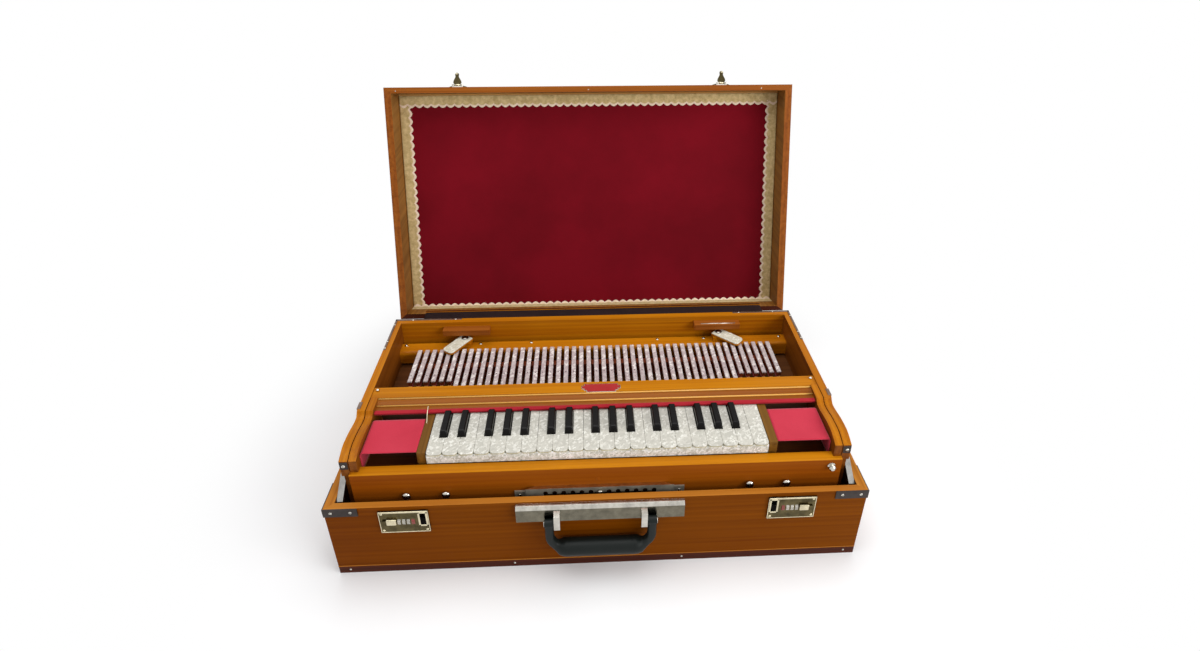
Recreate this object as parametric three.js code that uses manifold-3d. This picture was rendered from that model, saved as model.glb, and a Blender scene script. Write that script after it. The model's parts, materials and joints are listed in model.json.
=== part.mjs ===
// A suitcase harmonium with a shifting keyboard, in millimetres, +Z up.
// The origin is the middle of the case's underside. -Y is the player's side, where the keys are.
// It stands open for playing: the lid leans back, and four folding arms hold the instrument
// up out of the case.
import * as THREE from "three";
import { mergeVertices } from "three/addons/utils/BufferGeometryUtils.js";
import Module from "manifold-3d";

const wasm = await Module();
wasm.setup();

// Keyboard compass and pitch
const semitone = 12;
const octaveSemitones = 12;
const octaveWhites = 7;
const whiteCount = 22;
const blackSlots = [1, 3, 6, 8, 10];
const whiteSlots = [0, 2, 4, 5, 7, 9, 11];

// Case
const caseWidth = 710;
const caseDepth = 415;
const caseHeight = 124;
const caseSideWall = 12;
const caseEndWall = 9.5;
const baseThickness = 13;
const grooveDepth = 0.8;
const cornerLeg = 43;
const cornerHeight = 13.5;
const plateThickness = 1.2;

// Lid, opened about its hinge line behind the case
const lidHeight = 59;
const lidPanel = 8;
const lidSideWall = 12;
const lidFrontWall = 10;
const lidBackWall = 9;
const lidSeam = 0.4;
const lidOpenDegrees = 106.2;
const liningThickness = 3;
const liningMargin = 1;
const hingeOffset = 3.2;
const knuckleRadius = 2.7;
const knuckleLength = 14;
const hingePinRadius = 1.3;
const hingePlaceShare = 0.648;
const leafHeight = 16;

// Combination locks on the case and their hasps on the lid
const lockPlaceShare = 0.717;
const haspInset = 24.5;
const lockWidth = 64;
const lockHeight = 38;
const lockThickness = 2.2;
const lockDrop = 25.5;
const dialRadius = 7;
const dialWidth = 4;
const dialPitch = 6;
const dialCount = 4;
const dialProud = 1.5;
const lockButtonWidth = 10;
const lockButtonHeight = 8;
const lockButtonProud = 1.8;
const lockEdge = 4;
const haspWidth = 18;
const haspLength = 25;
const haspThickness = 2;
const haspBarrel = 2;
const haspLugWidth = 4;
const haspRise = 6;
const haspOpenDegrees = 95;
const stapleWidth = 4;
const stapleDepth = 3.2;
const stapleHeight = 8;
const stapleClearance = 2.5;

// Carry handle and the bar it hangs from
const barWidth = 220;
const barHeight = 26;
const barDepth = 8;
const barDrop = 3;
const barBevel = 4;
const lugWidth = 8;
const lugDepth = 11;
const lugHeight = 24;
const lugDrop = 5;
const handlePinDrop = 21;
const handleWidth = 146;
const handleDrop = 46;
const handleArm = 12;
const handleThickness = 12;
const gripRadius = 12;
const handleCorner = 14;
const handlePinRadius = 2.5;

// Folding arms that raise the instrument
const armLength = 45.3;
const armDegrees = 35;
const armWidth = 13;
const armThickness = 3;
const armInset = 2.2;
const flangeThickness = 2;
const flangeGap = 0.6;
const armPinRadius = 3;
const armPinDepth = 6;
const pinHeadRadius = 5;
const pinHeadThickness = 1.2;
const armPivotDrop = 8;
const frontArmSetback = 11.5;
const rearArmSetback = 138;

// Instrument body
const floorGap = 1;
const bodyGap = 9;
const knobRoom = 13;
const bellowsRoom = 73.5;
const bodyRise = 9.5;
const boardThickness = 11;
const grooveWidth = 1.2;
const cheekThickness = 9.8;
const floorThickness = 6;
const panelThickness = 14.5;
const panelHeight = 92;
const boardSetback = 5.5;
const boardFrontDrop = 8.5;
const boardEndHeight = 25;
const boardEndDepth = 6;
const frontEase = 16;
const scrollEase = 10;
const scrollLength = 25;
const scrollReachShare = 1.2;
const shoulderPlace = 84;
const swellDrop = 1.5;
const shoulderDip = 6.5;
const backWallThickness = 11;
const deckDrop = 15.3;
const deckThickness = 6;
const deckSlot = 3.5;
const deckStepInset = 2;
const soundBoardDrop = 61.5;
const rearBarDepth = 24;
const rearBarHeight = 22;
const rearBarSetback = 8.5;
const rearBarTop = 26;
const rearBarRound = 6;
const rearShift = -4.2;
const ledgeWidth = 77;
const ledgeDepth = 14;
const ledgeHeight = 10;
const ledgeTop = 8;
const ledgePlaceShare = 0.651;

// Top rail over the tails of the keys
const topRailDepth = 44;
const topRailTop = 1.5;
const topRailFlat = 22;
const railGrooveDepth = 1.5;
const beadDrop = 1;
const beadStep = 0.8;
const lowBeadDepth = 10;
const lowBeadRise = 2.6;
const feltLip = 6.5;

// Keys
const keyGap = 0.5;
const keyFrontGap = 1.5;
const keyFrontHeight = 18;
const keyBodyHeight = 12;
const keyCornerRadius = 3;
const keyLip = 9;
const keyBevel = 1;
const keyVisible = 72.5;
const keyTail = 40.5;
const blackFront = 28;
const blackWidth = 10;
const blackRise = 9;
const blackNose = 2.7;
const pivotInset = 4;

// Shifting key frame
const bedThickness = 6;
const blockGap = 0.7;
const blockLeast = 8;
const curtainRoom = 1.5;
const curtainThickness = 1.2;
const curtainInset = 1;
const curtainBend = 3;
const pivotRailWidth = 8;

// Scale plate with one notch for each shift, and its lever
const plateDrop = 38;
const plateDepth = 5.5;
const plateHeight = 16;
const plateEnd = 14;
const plateHip = 12;
const tabLength = 15;
const tabDepth = 2.2;
const tabHeight = 13;
const tabDrop = 12;
const notchRadius = 3.2;
const slotRoom = 2.5;
const leverShank = 2.2;
const leverPress = 4;
const leverKnobRadius = 4;
const leverKnobDepth = 3.8;
const leverTongue = 16;
const tongueThickness = 2;
const tongueGap = 0.8;
const tongueInset = 2.5;

// Reed levers behind the top rail
const leverWidth = 6.8;
const leverHeight = 8;
const leverTop = 32;
const leverLongShare = 0.79;
const leverShortShare = 0.63;
const leverBevel = 1.5;
const leverTailGap = 1.5;
const battenDepth = 12;
const battenPlaceShare = 0.21;
const padHeight = 6;
const padLength = 14;
const padSetback = 3;

// Turn buttons, stop knobs and latch knob
const turnLength = 50;
const turnWidth = 21;
const turnThickness = 5;
const turnPlaceShare = 0.66;
const turnSetback = 19;
const turnPivotInset = 7;
const turnStud = 2;
const turnSeat = 8;
const turnSeatSize = 20;
const leftTurnDegrees = 35;
const rightTurnDegrees = 48;
const stopPlaceShares = [-0.786, -0.627, 0.622, 0.777];
const stopDrop = 37.5;
const stopRadius = 6;
const stopDepth = 6;
const stopShank = 1.6;
const latchInset = 14;
const latchDrop = 11;
const latchRadius = 5.5;
const latchDepth = 7.5;

// Bellows behind the back wall
const bellowsInset = 34;
const bellowsFoot = 4;
const bellowsRise = 1.5;
const foldCount = 5;
const foldPitch = 3.8;
const foldDepth = 3;
const foldRim = 1.2;
const bellowsBoard = 5;

// Shared clearances and counts of facets
const running = 0.3;
const overrun = 5;
const roundSides = 16;
const smallSides = 10;
const curveSteps = 5;

// Places worked out from the sizes above
const radians = THREE.MathUtils.degToRad;
const caseInner = caseWidth / 2 - caseSideWall;
const caseFront = -caseDepth / 2;
const caseBack = caseDepth / 2;
const bodyHalf = caseInner - bodyGap;
const boardInner = bodyHalf - boardThickness;
const cheekOuter = boardInner - grooveWidth;
const cheekInner = cheekOuter - cheekThickness;
const liftRise = 2 * armLength * Math.sin(radians(armDegrees));
const bodyBottom = baseThickness + floorGap + liftRise;
const panelTop = bodyBottom + panelHeight;
const whiteTop = panelTop + keyFrontHeight;
const bodyTop = whiteTop + bodyRise;
const panelFace = caseFront + caseEndWall + knobRoom;
const panelBack = panelFace + panelThickness;
const bodyBack = caseBack - caseEndWall - bellowsRoom;
const backWallFace = bodyBack - backWallThickness;
const boardFront = panelFace + boardSetback;
const deckFront = panelBack + deckSlot;
const deckTop = panelTop - deckDrop;
const soundBoardTop = bodyTop - soundBoardDrop;
const whitePitch = (semitone * octaveSemitones) / octaveWhites;
const keysHalf = (whitePitch * whiteCount) / 2;
const keyFront = panelBack + keyFrontGap;
const feltLine = keyFront + keyVisible;
const keyBack = feltLine + keyTail;
const blackTip = keyFront + blackFront;
const pivotPlace = keyBack - pivotInset;
const railFront = feltLine + feltLip;
const railBack = railFront + topRailDepth;
const railTop = bodyTop - topRailTop;
const railBottom = whiteTop + keyGap + running;
const deckStep = railFront + deckStepInset;
const blockInner = keysHalf + blockGap;
const shiftRoom = cheekInner - curtainRoom - blockInner - blockLeast;
const shiftSteps = Math.floor(shiftRoom / semitone);
const travel = semitone * shiftSteps;
const blockOuter = cheekInner - curtainRoom - travel;
const bedBottom = deckTop + curtainThickness + 2 * running;
const bedTop = bedBottom + bedThickness;
const plateLevel = panelTop - plateDrop;
const rearBarFace = backWallFace - rearBarSetback - rearBarDepth;
const rearBarLevel = soundBoardTop + rearBarTop;
const leverBack = rearBarFace - leverTailGap;
const leverRoom = leverBack - railBack;
const leverLevel = soundBoardTop + leverTop;
const armPivots = [
  caseFront + caseEndWall + frontArmSetback,
  caseBack - caseEndWall - rearArmSetback,
];
const pivotLevel = caseHeight - armPivotDrop;
const armReach = armLength * Math.cos(radians(armDegrees));
const armOuter = caseInner - armInset;
const armInner = armOuter - armThickness;
const hingeY = caseBack + hingeOffset;
const hingeZ = caseHeight + lidSeam / 2;
const handlePivotY = caseFront - barDepth - running - handleThickness / 2;
const barTop = caseHeight - barDrop;
const handlePivotZ = barTop - handlePinDrop;
const lockLevel = caseHeight - lockDrop;
const lockOffset = (lockPlaceShare * caseWidth) / 2;
const haspOffset = lockOffset - haspInset;
const hingeSpacing = (hingePlaceShare * caseWidth) / 2;

// A manifold solid from a closed three.js geometry
function solid(geometry) {
  const bare = geometry.clone();
  bare.deleteAttribute("normal");
  bare.deleteAttribute("uv");
  const merged = mergeVertices(bare);
  return new wasm.Manifold(
    new wasm.Mesh({
      numProp: 3,
      vertProperties: Float32Array.from(merged.attributes.position.array),
      triVerts: Uint32Array.from(merged.index.array),
    }),
  );
}

// A three.js geometry from a manifold solid
function geometryOf(shape) {
  const mesh = shape.getMesh();
  const geometry = new THREE.BufferGeometry();
  geometry.setAttribute("position", new THREE.BufferAttribute(mesh.vertProperties, 3));
  geometry.setIndex(new THREE.BufferAttribute(mesh.triVerts, 1));
  const flat = geometry.toNonIndexed();
  flat.computeVertexNormals();
  return flat;
}

function joined(shapes) {
  return shapes.reduce((whole, shape) => whole.add(shape));
}

// A block between exact coordinates, so blocks that meet share the same face
function box(x0, x1, y0, y1, z0, z1) {
  const block = new THREE.BoxGeometry();
  const place = block.attributes.position;
  for (let i = 0; i < place.count; i += 1) {
    place.setXYZ(
      i,
      place.getX(i) < 0 ? x0 : x1,
      place.getY(i) < 0 ? y0 : y1,
      place.getZ(i) < 0 ? z0 : z1,
    );
  }
  return solid(block);
}

// An outline swept straight: across the width from (y, z) points, or up from (x, y) points
function sweep(outline, start, end, along) {
  const shape = outline instanceof THREE.Shape ? outline : new THREE.Shape(outline);
  const swept = new THREE.ExtrudeGeometry(shape, {
    depth: 1,
    bevelEnabled: false,
    curveSegments: curveSteps,
  });
  const place = swept.attributes.position;
  for (let i = 0; i < place.count; i += 1) {
    const u = place.getX(i);
    const v = place.getY(i);
    const far = place.getZ(i) > 1 / 2;
    if (along === "x") place.setXYZ(i, far ? end : start, u, v);
    if (along === "y") place.setXYZ(i, u, far ? start : end, v);
    if (along === "z") place.setXYZ(i, u, v, far ? end : start);
  }
  return solid(swept);
}

function points(pairs) {
  return pairs.map(([u, v]) => new THREE.Vector2(u, v));
}

// A straight round rod between two places on one axis
function rod(axis, a, b, radius, start, end, sides = roundSides) {
  const bar = new THREE.CylinderGeometry(radius, radius, end - start, sides);
  const middle = (start + end) / 2;
  if (axis === "x") {
    bar.rotateZ(Math.PI / 2);
    bar.translate(middle, a, b);
  }
  if (axis === "y") bar.translate(a, middle, b);
  if (axis === "z") {
    bar.rotateX(Math.PI / 2);
    bar.translate(a, b, middle);
  }
  return solid(bar);
}

// A turned knob that points to the player: profile pairs are radius and distance from the panel
function turned(profile, x, y, z, sides = roundSides) {
  const lathe = new THREE.LatheGeometry(points(profile), sides);
  lathe.rotateX(Math.PI);
  lathe.translate(x, y, z);
  return solid(lathe);
}

// A span across the width on one side, from the nearer to the farther distance off the middle
function outward(side, near, far) {
  return side > 0 ? [near, far] : [-far, -near];
}

const materials = {
  wood: { color: 0xa8641c, roughness: 0.35, metalness: 0 },
  darkWood: { color: 0x7a4312, roughness: 0.5, metalness: 0 },
  cloth: { color: 0x7a1220, roughness: 0.95, metalness: 0 },
  redCloth: { color: 0xc23a4a, roughness: 0.9, metalness: 0 },
  pearl: { color: 0xddd9cc, roughness: 0.25, metalness: 0 },
  rosePearl: { color: 0xcbbab4, roughness: 0.3, metalness: 0 },
  ebony: { color: 0x0c0c0e, roughness: 0.15, metalness: 0 },
  chrome: { color: 0xc4c4c0, roughness: 0.2, metalness: 1 },
  plastic: { color: 0x1c2623, roughness: 0.4, metalness: 0 },
  leather: { color: 0x2a1c33, roughness: 0.7, metalness: 0 },
};

function node(name, shape, finish, parent) {
  const material = new THREE.MeshStandardMaterial(materials[finish]);
  const mesh = new THREE.Mesh(geometryOf(shape), material);
  mesh.name = name;
  parent.add(mesh);
  return mesh;
}

// Case

function caseShell() {
  const outer = box(-caseWidth / 2, caseWidth / 2, caseFront, caseBack, 0, caseHeight);
  const hollow = box(
    -caseInner,
    caseInner,
    caseFront + caseEndWall,
    caseBack - caseEndWall,
    baseThickness,
    caseHeight + overrun,
  );
  const band = box(
    -caseWidth / 2 - overrun,
    caseWidth / 2 + overrun,
    caseFront - overrun,
    caseBack + overrun,
    baseThickness - grooveDepth,
    baseThickness,
  );
  const core = box(
    -caseWidth / 2 + grooveDepth,
    caseWidth / 2 - grooveDepth,
    caseFront + grooveDepth,
    caseBack - grooveDepth,
    0,
    caseHeight,
  );
  return outer.subtract(hollow).subtract(band.subtract(core));
}

// A metal corner plate bent round one upright edge of the case
function cornerPlate(side, end) {
  const x0 = side * (caseWidth / 2 + plateThickness);
  const x1 = side * (caseWidth / 2 - cornerLeg);
  const y0 = end * (caseDepth / 2 + plateThickness);
  const y1 = end * (caseDepth / 2 - cornerLeg);
  const wrap = box(
    Math.min(x0, x1),
    Math.max(x0, x1),
    Math.min(y0, y1),
    Math.max(y0, y1),
    caseHeight - cornerHeight,
    caseHeight,
  );
  const inside = box(
    -caseWidth / 2,
    caseWidth / 2,
    caseFront,
    caseBack,
    0,
    caseHeight + overrun,
  );
  return wrap.subtract(inside);
}

// A lock's face plate with its number dials, slide button and the slot for the staple
function lockPlate(side) {
  const centre = side * lockOffset;
  const face = caseFront - lockThickness;
  const plate = box(
    centre - lockWidth / 2,
    centre + lockWidth / 2,
    face,
    caseFront,
    lockLevel - lockHeight / 2,
    lockLevel + lockHeight / 2,
  );
  const pieces = [plate];
  const firstDial = haspOffset + haspWidth / 2 + dialWidth;
  for (let i = 0; i < dialCount; i += 1) {
    const x = side * (firstDial + i * dialPitch);
    pieces.push(
      rod("x", face + dialRadius - dialProud, lockLevel, dialRadius, x - dialWidth / 2, x + dialWidth / 2),
    );
  }
  const buttonX = side * (lockOffset + lockWidth / 2 - lockEdge - lockButtonWidth / 2);
  pieces.push(
    box(
      buttonX - lockButtonWidth / 2,
      buttonX + lockButtonWidth / 2,
      face - lockButtonProud,
      caseFront,
      lockLevel - lockButtonHeight / 2,
      lockLevel + lockButtonHeight / 2,
    ),
  );
  return joined(pieces);
}

// The hole behind a lock's slot, which the hasp's staple enters
function stapleHole(side) {
  const centre = side * haspOffset;
  const low = hingeZ + lidSeam / 2 + haspRise - haspLength + haspBarrel;
  return box(
    centre - stapleWidth / 2 - stapleClearance,
    centre + stapleWidth / 2 + stapleClearance,
    caseFront - lockThickness - overrun,
    caseFront + stapleDepth,
    low - stapleClearance,
    low + stapleHeight + stapleClearance,
  );
}

function handleBar() {
  const face = caseFront - barDepth;
  const low = barTop - barHeight;
  const profile = points([
    [caseFront, low],
    [caseFront, barTop],
    [face + barBevel, barTop],
    [face, barTop - barBevel],
    [face, low + plateThickness],
    [face + plateThickness, low],
  ]);
  return sweep(profile, -barWidth / 2, barWidth / 2, "x");
}

// The two lugs on the bar, with the pins that the handle swings on
function handleLugs(side) {
  const outer = handleWidth / 2 - handleArm - running;
  const inner = outer - lugWidth;
  const face = caseFront - barDepth;
  const lug = box(
    side > 0 ? inner : -outer,
    side > 0 ? outer : -inner,
    face - lugDepth,
    face,
    barTop - lugDrop - lugHeight,
    barTop - lugDrop,
  );
  const reach = handleWidth / 2 + plateThickness;
  const pin = rod(
    "x",
    handlePivotY,
    handlePivotZ,
    handlePinRadius,
    side > 0 ? inner + plateThickness : -reach,
    side > 0 ? reach : -inner - plateThickness,
    smallSides,
  );
  return lug.add(pin);
}

// The blind bores in one side wall that take the lower pins of its two folding arms
function wallBores(side) {
  const [x0, x1] = outward(side, caseInner - overrun, caseInner + armPinDepth + running);
  return armPivots.map((y) => rod("x", y, pivotLevel, armPinRadius + running, x0, x1, smallSides));
}

// Hinge knuckles on the case, with the pin that the lid's knuckle turns on
function caseHinge(x) {
  const outer = 1.5 * knuckleLength;
  const pieces = [];
  for (const side of [-1, 1]) {
    const near = side * (knuckleLength / 2 + running);
    const far = side * outer;
    const x0 = x + Math.min(near, far);
    const x1 = x + Math.max(near, far);
    pieces.push(rod("x", hingeY, hingeZ, knuckleRadius, x0, x1, smallSides));
    pieces.push(
      box(x0, x1, caseBack - plateThickness, hingeY, caseHeight - knuckleRadius, caseHeight - lidSeam),
    );
  }
  const pinHalf = outer - plateThickness;
  pieces.push(rod("x", hingeY, hingeZ, hingePinRadius, x - pinHalf, x + pinHalf, smallSides));
  pieces.push(
    box(
      x - outer,
      x + outer,
      caseBack - plateThickness,
      caseBack + plateThickness,
      caseHeight - leafHeight,
      caseHeight - knuckleRadius - plateThickness,
    ),
  );
  pieces.push(
    box(
      x - outer,
      x - knuckleLength / 2 - running,
      caseBack - plateThickness,
      caseBack + plateThickness,
      caseHeight - leafHeight,
      caseHeight - lidSeam,
    ),
  );
  return joined(pieces);
}

function trayCase() {
  const pieces = [caseShell(), handleBar()];
  for (const side of [-1, 1]) {
    for (const end of [-1, 1]) pieces.push(cornerPlate(side, end));
    pieces.push(lockPlate(side));
    pieces.push(handleLugs(side));
  }
  for (const x of [-hingeSpacing, 0, hingeSpacing]) pieces.push(caseHinge(x));
  let shape = joined(pieces);
  for (const side of [-1, 1]) {
    for (const hole of [stapleHole(side), ...wallBores(side)]) shape = shape.subtract(hole);
  }
  return shape;
}

// Carry handle: a rounded loop with a thick grip, hanging from its pins
function handleOutline() {
  const outer = handleWidth / 2;
  const inner = outer - handleArm;
  const low = -handleDrop - gripRadius;
  const gripTop = -handleDrop + gripRadius - barBevel;
  const outline = new THREE.Shape();
  outline.moveTo(outer, 0);
  outline.lineTo(inner, 0);
  outline.lineTo(inner, gripTop + handleCorner / 2);
  outline.quadraticCurveTo(inner, gripTop, inner - handleCorner / 2, gripTop);
  outline.lineTo(-inner + handleCorner / 2, gripTop);
  outline.quadraticCurveTo(-inner, gripTop, -inner, gripTop + handleCorner / 2);
  outline.lineTo(-inner, 0);
  outline.lineTo(-outer, 0);
  outline.lineTo(-outer, low + handleCorner);
  outline.quadraticCurveTo(-outer, low, -outer + handleCorner, low);
  outline.lineTo(outer - handleCorner, low);
  outline.quadraticCurveTo(outer, low, outer, low + handleCorner);
  return outline;
}

function carryHandle() {
  const loop = sweep(handleOutline(), -handleThickness / 2, handleThickness / 2, "y");
  const gripHalf = handleWidth / 2 - handleCorner - handleArm / 2;
  const grip = rod("x", 0, -handleDrop, gripRadius, -gripHalf, gripHalf);
  const outer = handleWidth / 2;
  const eyes = [-outer, outer - handleArm].map((x) => {
    return rod("x", 0, 0, handleThickness / 2, x, x + handleArm);
  });
  const reach = outer + overrun;
  const bore = rod("x", 0, 0, handlePinRadius + running, -reach, reach, smallSides);
  return joined([loop, grip, ...eyes]).subtract(bore);
}

// Lid, in its closed place with the hinge line as its origin

const lidRim = lidSeam / 2;
const lidFront = caseFront - hingeY;
const lidBack = caseBack - hingeY;
const haspPivotY = lidFront - lockThickness - running - haspThickness / 2;
const haspPivotZ = lidRim + haspRise;

function lidShell() {
  const outer = box(-caseWidth / 2, caseWidth / 2, lidFront, lidBack, lidRim, lidRim + lidHeight);
  const hollow = box(
    -caseWidth / 2 + lidSideWall,
    caseWidth / 2 - lidSideWall,
    lidFront + lidFrontWall,
    lidBack - lidBackWall,
    lidRim - overrun,
    lidRim + lidHeight - lidPanel,
  );
  return outer.subtract(hollow);
}

function lidHinge(x) {
  const half = knuckleLength / 2 - running;
  const barrel = rod("x", 0, 0, knuckleRadius, x - half, x + half, smallSides);
  const tab = box(
    x - half,
    x + half,
    lidBack - plateThickness,
    0,
    lidRim,
    knuckleRadius,
  );
  const leaf = box(
    x - 1.5 * knuckleLength,
    x + 1.5 * knuckleLength,
    lidBack - plateThickness,
    lidBack + plateThickness,
    knuckleRadius + plateThickness,
    leafHeight,
  );
  const neck = box(
    x - half,
    x + half,
    lidBack - plateThickness,
    lidBack + plateThickness,
    lidRim,
    leafHeight,
  );
  const bore = rod(
    "x",
    0,
    0,
    hingePinRadius + running,
    x - knuckleLength,
    x + knuckleLength,
    smallSides,
  );
  return { metal: joined([barrel, tab, leaf, neck]), bore };
}

// Lugs on the lid's front wall that carry one hasp's pin
function haspLugs(x) {
  const inner = haspWidth / 2 - haspLugWidth + running;
  const pieces = [];
  for (const side of [-1, 1]) {
    const near = x + side * inner;
    const far = x + side * (haspWidth / 2 + running);
    pieces.push(
      box(
        Math.min(near, far),
        Math.max(near, far),
        haspPivotY - haspBarrel,
        lidFront + plateThickness,
        haspPivotZ - haspBarrel,
        haspPivotZ + haspBarrel,
      ),
    );
  }
  const reach = haspWidth / 2 + running;
  pieces.push(
    rod("x", haspPivotY, haspPivotZ, haspBarrel / 2, x - reach, x + reach, smallSides),
  );
  pieces.push(
    box(
      x - reach,
      x + reach,
      lidFront - plateThickness,
      lidFront + plateThickness,
      haspPivotZ - haspBarrel,
      haspPivotZ + leafHeight,
    ),
  );
  return joined(pieces);
}

function lidCase() {
  let shape = lidShell();
  const hinges = [-hingeSpacing, 0, hingeSpacing].map(lidHinge);
  for (const hinge of hinges) shape = shape.add(hinge.metal);
  for (const hinge of hinges) shape = shape.subtract(hinge.bore);
  for (const side of [-1, 1]) shape = shape.add(haspLugs(side * haspOffset));
  return shape;
}

function lidLining() {
  const top = lidRim + lidHeight - lidPanel - running;
  const half = caseWidth / 2 - lidSideWall - liningMargin;
  return box(
    -half,
    half,
    lidFront + lidFrontWall + liningMargin,
    lidBack - lidBackWall - liningMargin,
    top - liningThickness,
    top,
  );
}

// One hasp about its own pin, hanging as it does when the lock is shut
function hasp() {
  const flapHalf = haspWidth / 2;
  const barrelHalf = haspWidth / 2 - haspLugWidth - running;
  const wall = haspThickness / 2;
  const barrel = rod("x", 0, 0, haspBarrel, -barrelHalf, barrelHalf, smallSides);
  const strap = box(-barrelHalf, barrelHalf, -wall, wall, -haspBarrel - plateThickness, 0);
  const flap = box(-flapHalf, flapHalf, -wall, wall, -haspLength, -haspBarrel - plateThickness);
  const staple = box(
    -stapleWidth / 2,
    stapleWidth / 2,
    0,
    wall + stapleDepth,
    haspBarrel - haspLength,
    haspBarrel - haspLength + stapleHeight,
  );
  const bore = rod(
    "x",
    0,
    0,
    haspBarrel / 2 + running,
    -flapHalf,
    flapHalf,
    smallSides,
  );
  return joined([barrel, strap, flap, staple]).subtract(bore);
}

// Instrument body

// Side outline from the back to the scrolled front end, as (y, z)
function boardOutline(back, low, foot) {
  const shoulder = boardFront + shoulderPlace;
  const endTop = bodyTop - boardFrontDrop;
  const swell = bodyTop - swellDrop;
  const dip = bodyTop - shoulderDip;
  const outline = new THREE.Shape();
  outline.moveTo(back, foot);
  outline.lineTo(back, bodyTop);
  outline.lineTo(shoulder, bodyTop);
  outline.quadraticCurveTo(shoulder - scrollEase / 2, dip, shoulder - scrollEase, dip);
  outline.bezierCurveTo(
    shoulder - scrollLength,
    dip,
    shoulder - scrollReachShare * scrollLength,
    swell,
    boardFront + scrollLength,
    swell,
  );
  outline.quadraticCurveTo(boardFront + frontEase, swell, boardFront, endTop);
  outline.lineTo(boardFront, low);
  outline.lineTo(boardFront + boardEndDepth, low);
  outline.lineTo(boardFront + boardEndDepth, foot);
  return outline;
}

function sideBoards(side) {
  const low = bodyTop - boardFrontDrop - boardEndHeight;
  const board = sweep(
    boardOutline(bodyBack, low, bodyBottom),
    ...outward(side, boardInner, bodyHalf),
    "x",
  );
  const cheekSide = boardOutline(railBack - topRailFlat, low, bodyBottom + floorThickness / 2);
  const cheek = sweep(cheekSide, ...outward(side, cheekInner, cheekOuter), "x");
  return [board, cheek];
}

// The blind bores in one side board that take the upper pins of its two folding arms
function boardBores(side) {
  const [x0, x1] = outward(side, bodyHalf - armPinDepth - running, bodyHalf + overrun);
  const z = pivotLevel + liftRise / 2;
  return armPivots.map((y) => {
    return rod("x", y + armReach, z, armPinRadius + running, x0, x1, smallSides);
  });
}

const slotLow = plateLevel - leverPress - leverShank - running;

// Front panel with a softened top edge, the key slip
function frontPanel() {
  const profile = points([
    [panelBack, bodyBottom],
    [panelBack, panelTop],
    [panelFace + plateThickness, panelTop],
    [panelFace, panelTop - plateThickness],
    [panelFace, bodyBottom],
  ]);
  const panel = sweep(profile, -boardInner, boardInner, "x");
  const slot = box(
    -travel - leverShank - slotRoom,
    travel + leverShank + slotRoom,
    panelFace - overrun,
    panelBack + overrun,
    slotLow - running,
    plateLevel + notchRadius + running,
  );
  return panel.subtract(slot);
}

// Decks: the level bed that the key frame slides on, a riser, and the sound board behind it
function decks() {
  return sweep(
    points([
      [deckFront, deckTop - deckThickness],
      [deckFront, deckTop],
      [deckStep, deckTop],
      [deckStep, deckTop + curtainThickness + running],
      [railBack, deckTop + curtainThickness + running],
      [railBack, soundBoardTop],
      [backWallFace + plateThickness, soundBoardTop],
      [backWallFace + plateThickness, soundBoardTop - deckThickness],
      [railBack - deckThickness, soundBoardTop - deckThickness],
      [railBack - deckThickness, deckTop - deckThickness],
    ]),
    -boardInner,
    boardInner,
    "x",
  );
}

// Moulded top rail: a flat back, a groove, and two beads that step down to the felt lip
function topRail() {
  const flatEnd = railBack - topRailFlat;
  const crown = flatEnd - grooveWidth;
  const crownTop = railTop - beadDrop;
  const step = railFront + lowBeadDepth;
  const lowTop = railBottom + lowBeadRise;
  const outline = new THREE.Shape();
  outline.moveTo(railBack, railBottom);
  outline.lineTo(railBack, railTop);
  outline.lineTo(flatEnd, railTop);
  outline.lineTo(flatEnd, railTop - railGrooveDepth);
  outline.lineTo(crown, railTop - railGrooveDepth);
  outline.lineTo(crown, crownTop);
  outline.quadraticCurveTo((crown + step) / 2, crownTop, step, lowTop + beadStep);
  outline.lineTo(step, lowTop);
  outline.quadraticCurveTo(railFront, lowTop, railFront, railBottom);
  return sweep(outline, -boardInner, boardInner, "x");
}

// Scale plate: a bar with hipped ends on two tabs, with a notch for each place of the keyboard
// and a slot under the notches that the lever is pressed down into
function scalePlateShape() {
  const half = travel + plateEnd;
  const wide = half + plateHip;
  const face = panelFace - plateDepth;
  const low = plateLevel - plateHeight / 2;
  const plan = points([
    [-half, panelFace],
    [-wide, face],
    [wide, face],
    [half, panelFace],
  ]);
  let plate = sweep(plan, low, low + plateHeight, "z");
  for (const side of [-1, 1]) {
    const [x0, x1] = outward(side, half - tabLength, wide + tabLength);
    const tabLow = plateLevel - tabDrop;
    plate = plate.add(box(x0, x1, panelFace - tabDepth, panelFace, tabLow, tabLow + tabHeight));
  }
  plate = plate.subtract(
    box(
      -travel - leverShank - running,
      travel + leverShank + running,
      face - overrun,
      panelFace + overrun,
      slotLow,
      plateLevel - leverPress + leverShank + running,
    ),
  );
  for (let step = -shiftSteps; step <= shiftSteps; step += 1) {
    const notch = [step * semitone, plateLevel, notchRadius, face - overrun, panelFace + overrun];
    plate = plate.subtract(rod("y", ...notch, smallSides));
  }
  return plate;
}

function ledges(side) {
  const centre = rearShift + side * ledgePlaceShare * boardInner;
  return box(
    centre - ledgeWidth / 2,
    centre + ledgeWidth / 2,
    backWallFace - ledgeDepth,
    backWallFace + plateThickness,
    bodyTop - ledgeTop - ledgeHeight,
    bodyTop - ledgeTop,
  );
}

const turnY = rearBarFace + turnSetback;
const turnBottom = rearBarLevel + turnSeat;
const turnX = (side) => rearShift + side * turnPlaceShare * boardInner;

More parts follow.
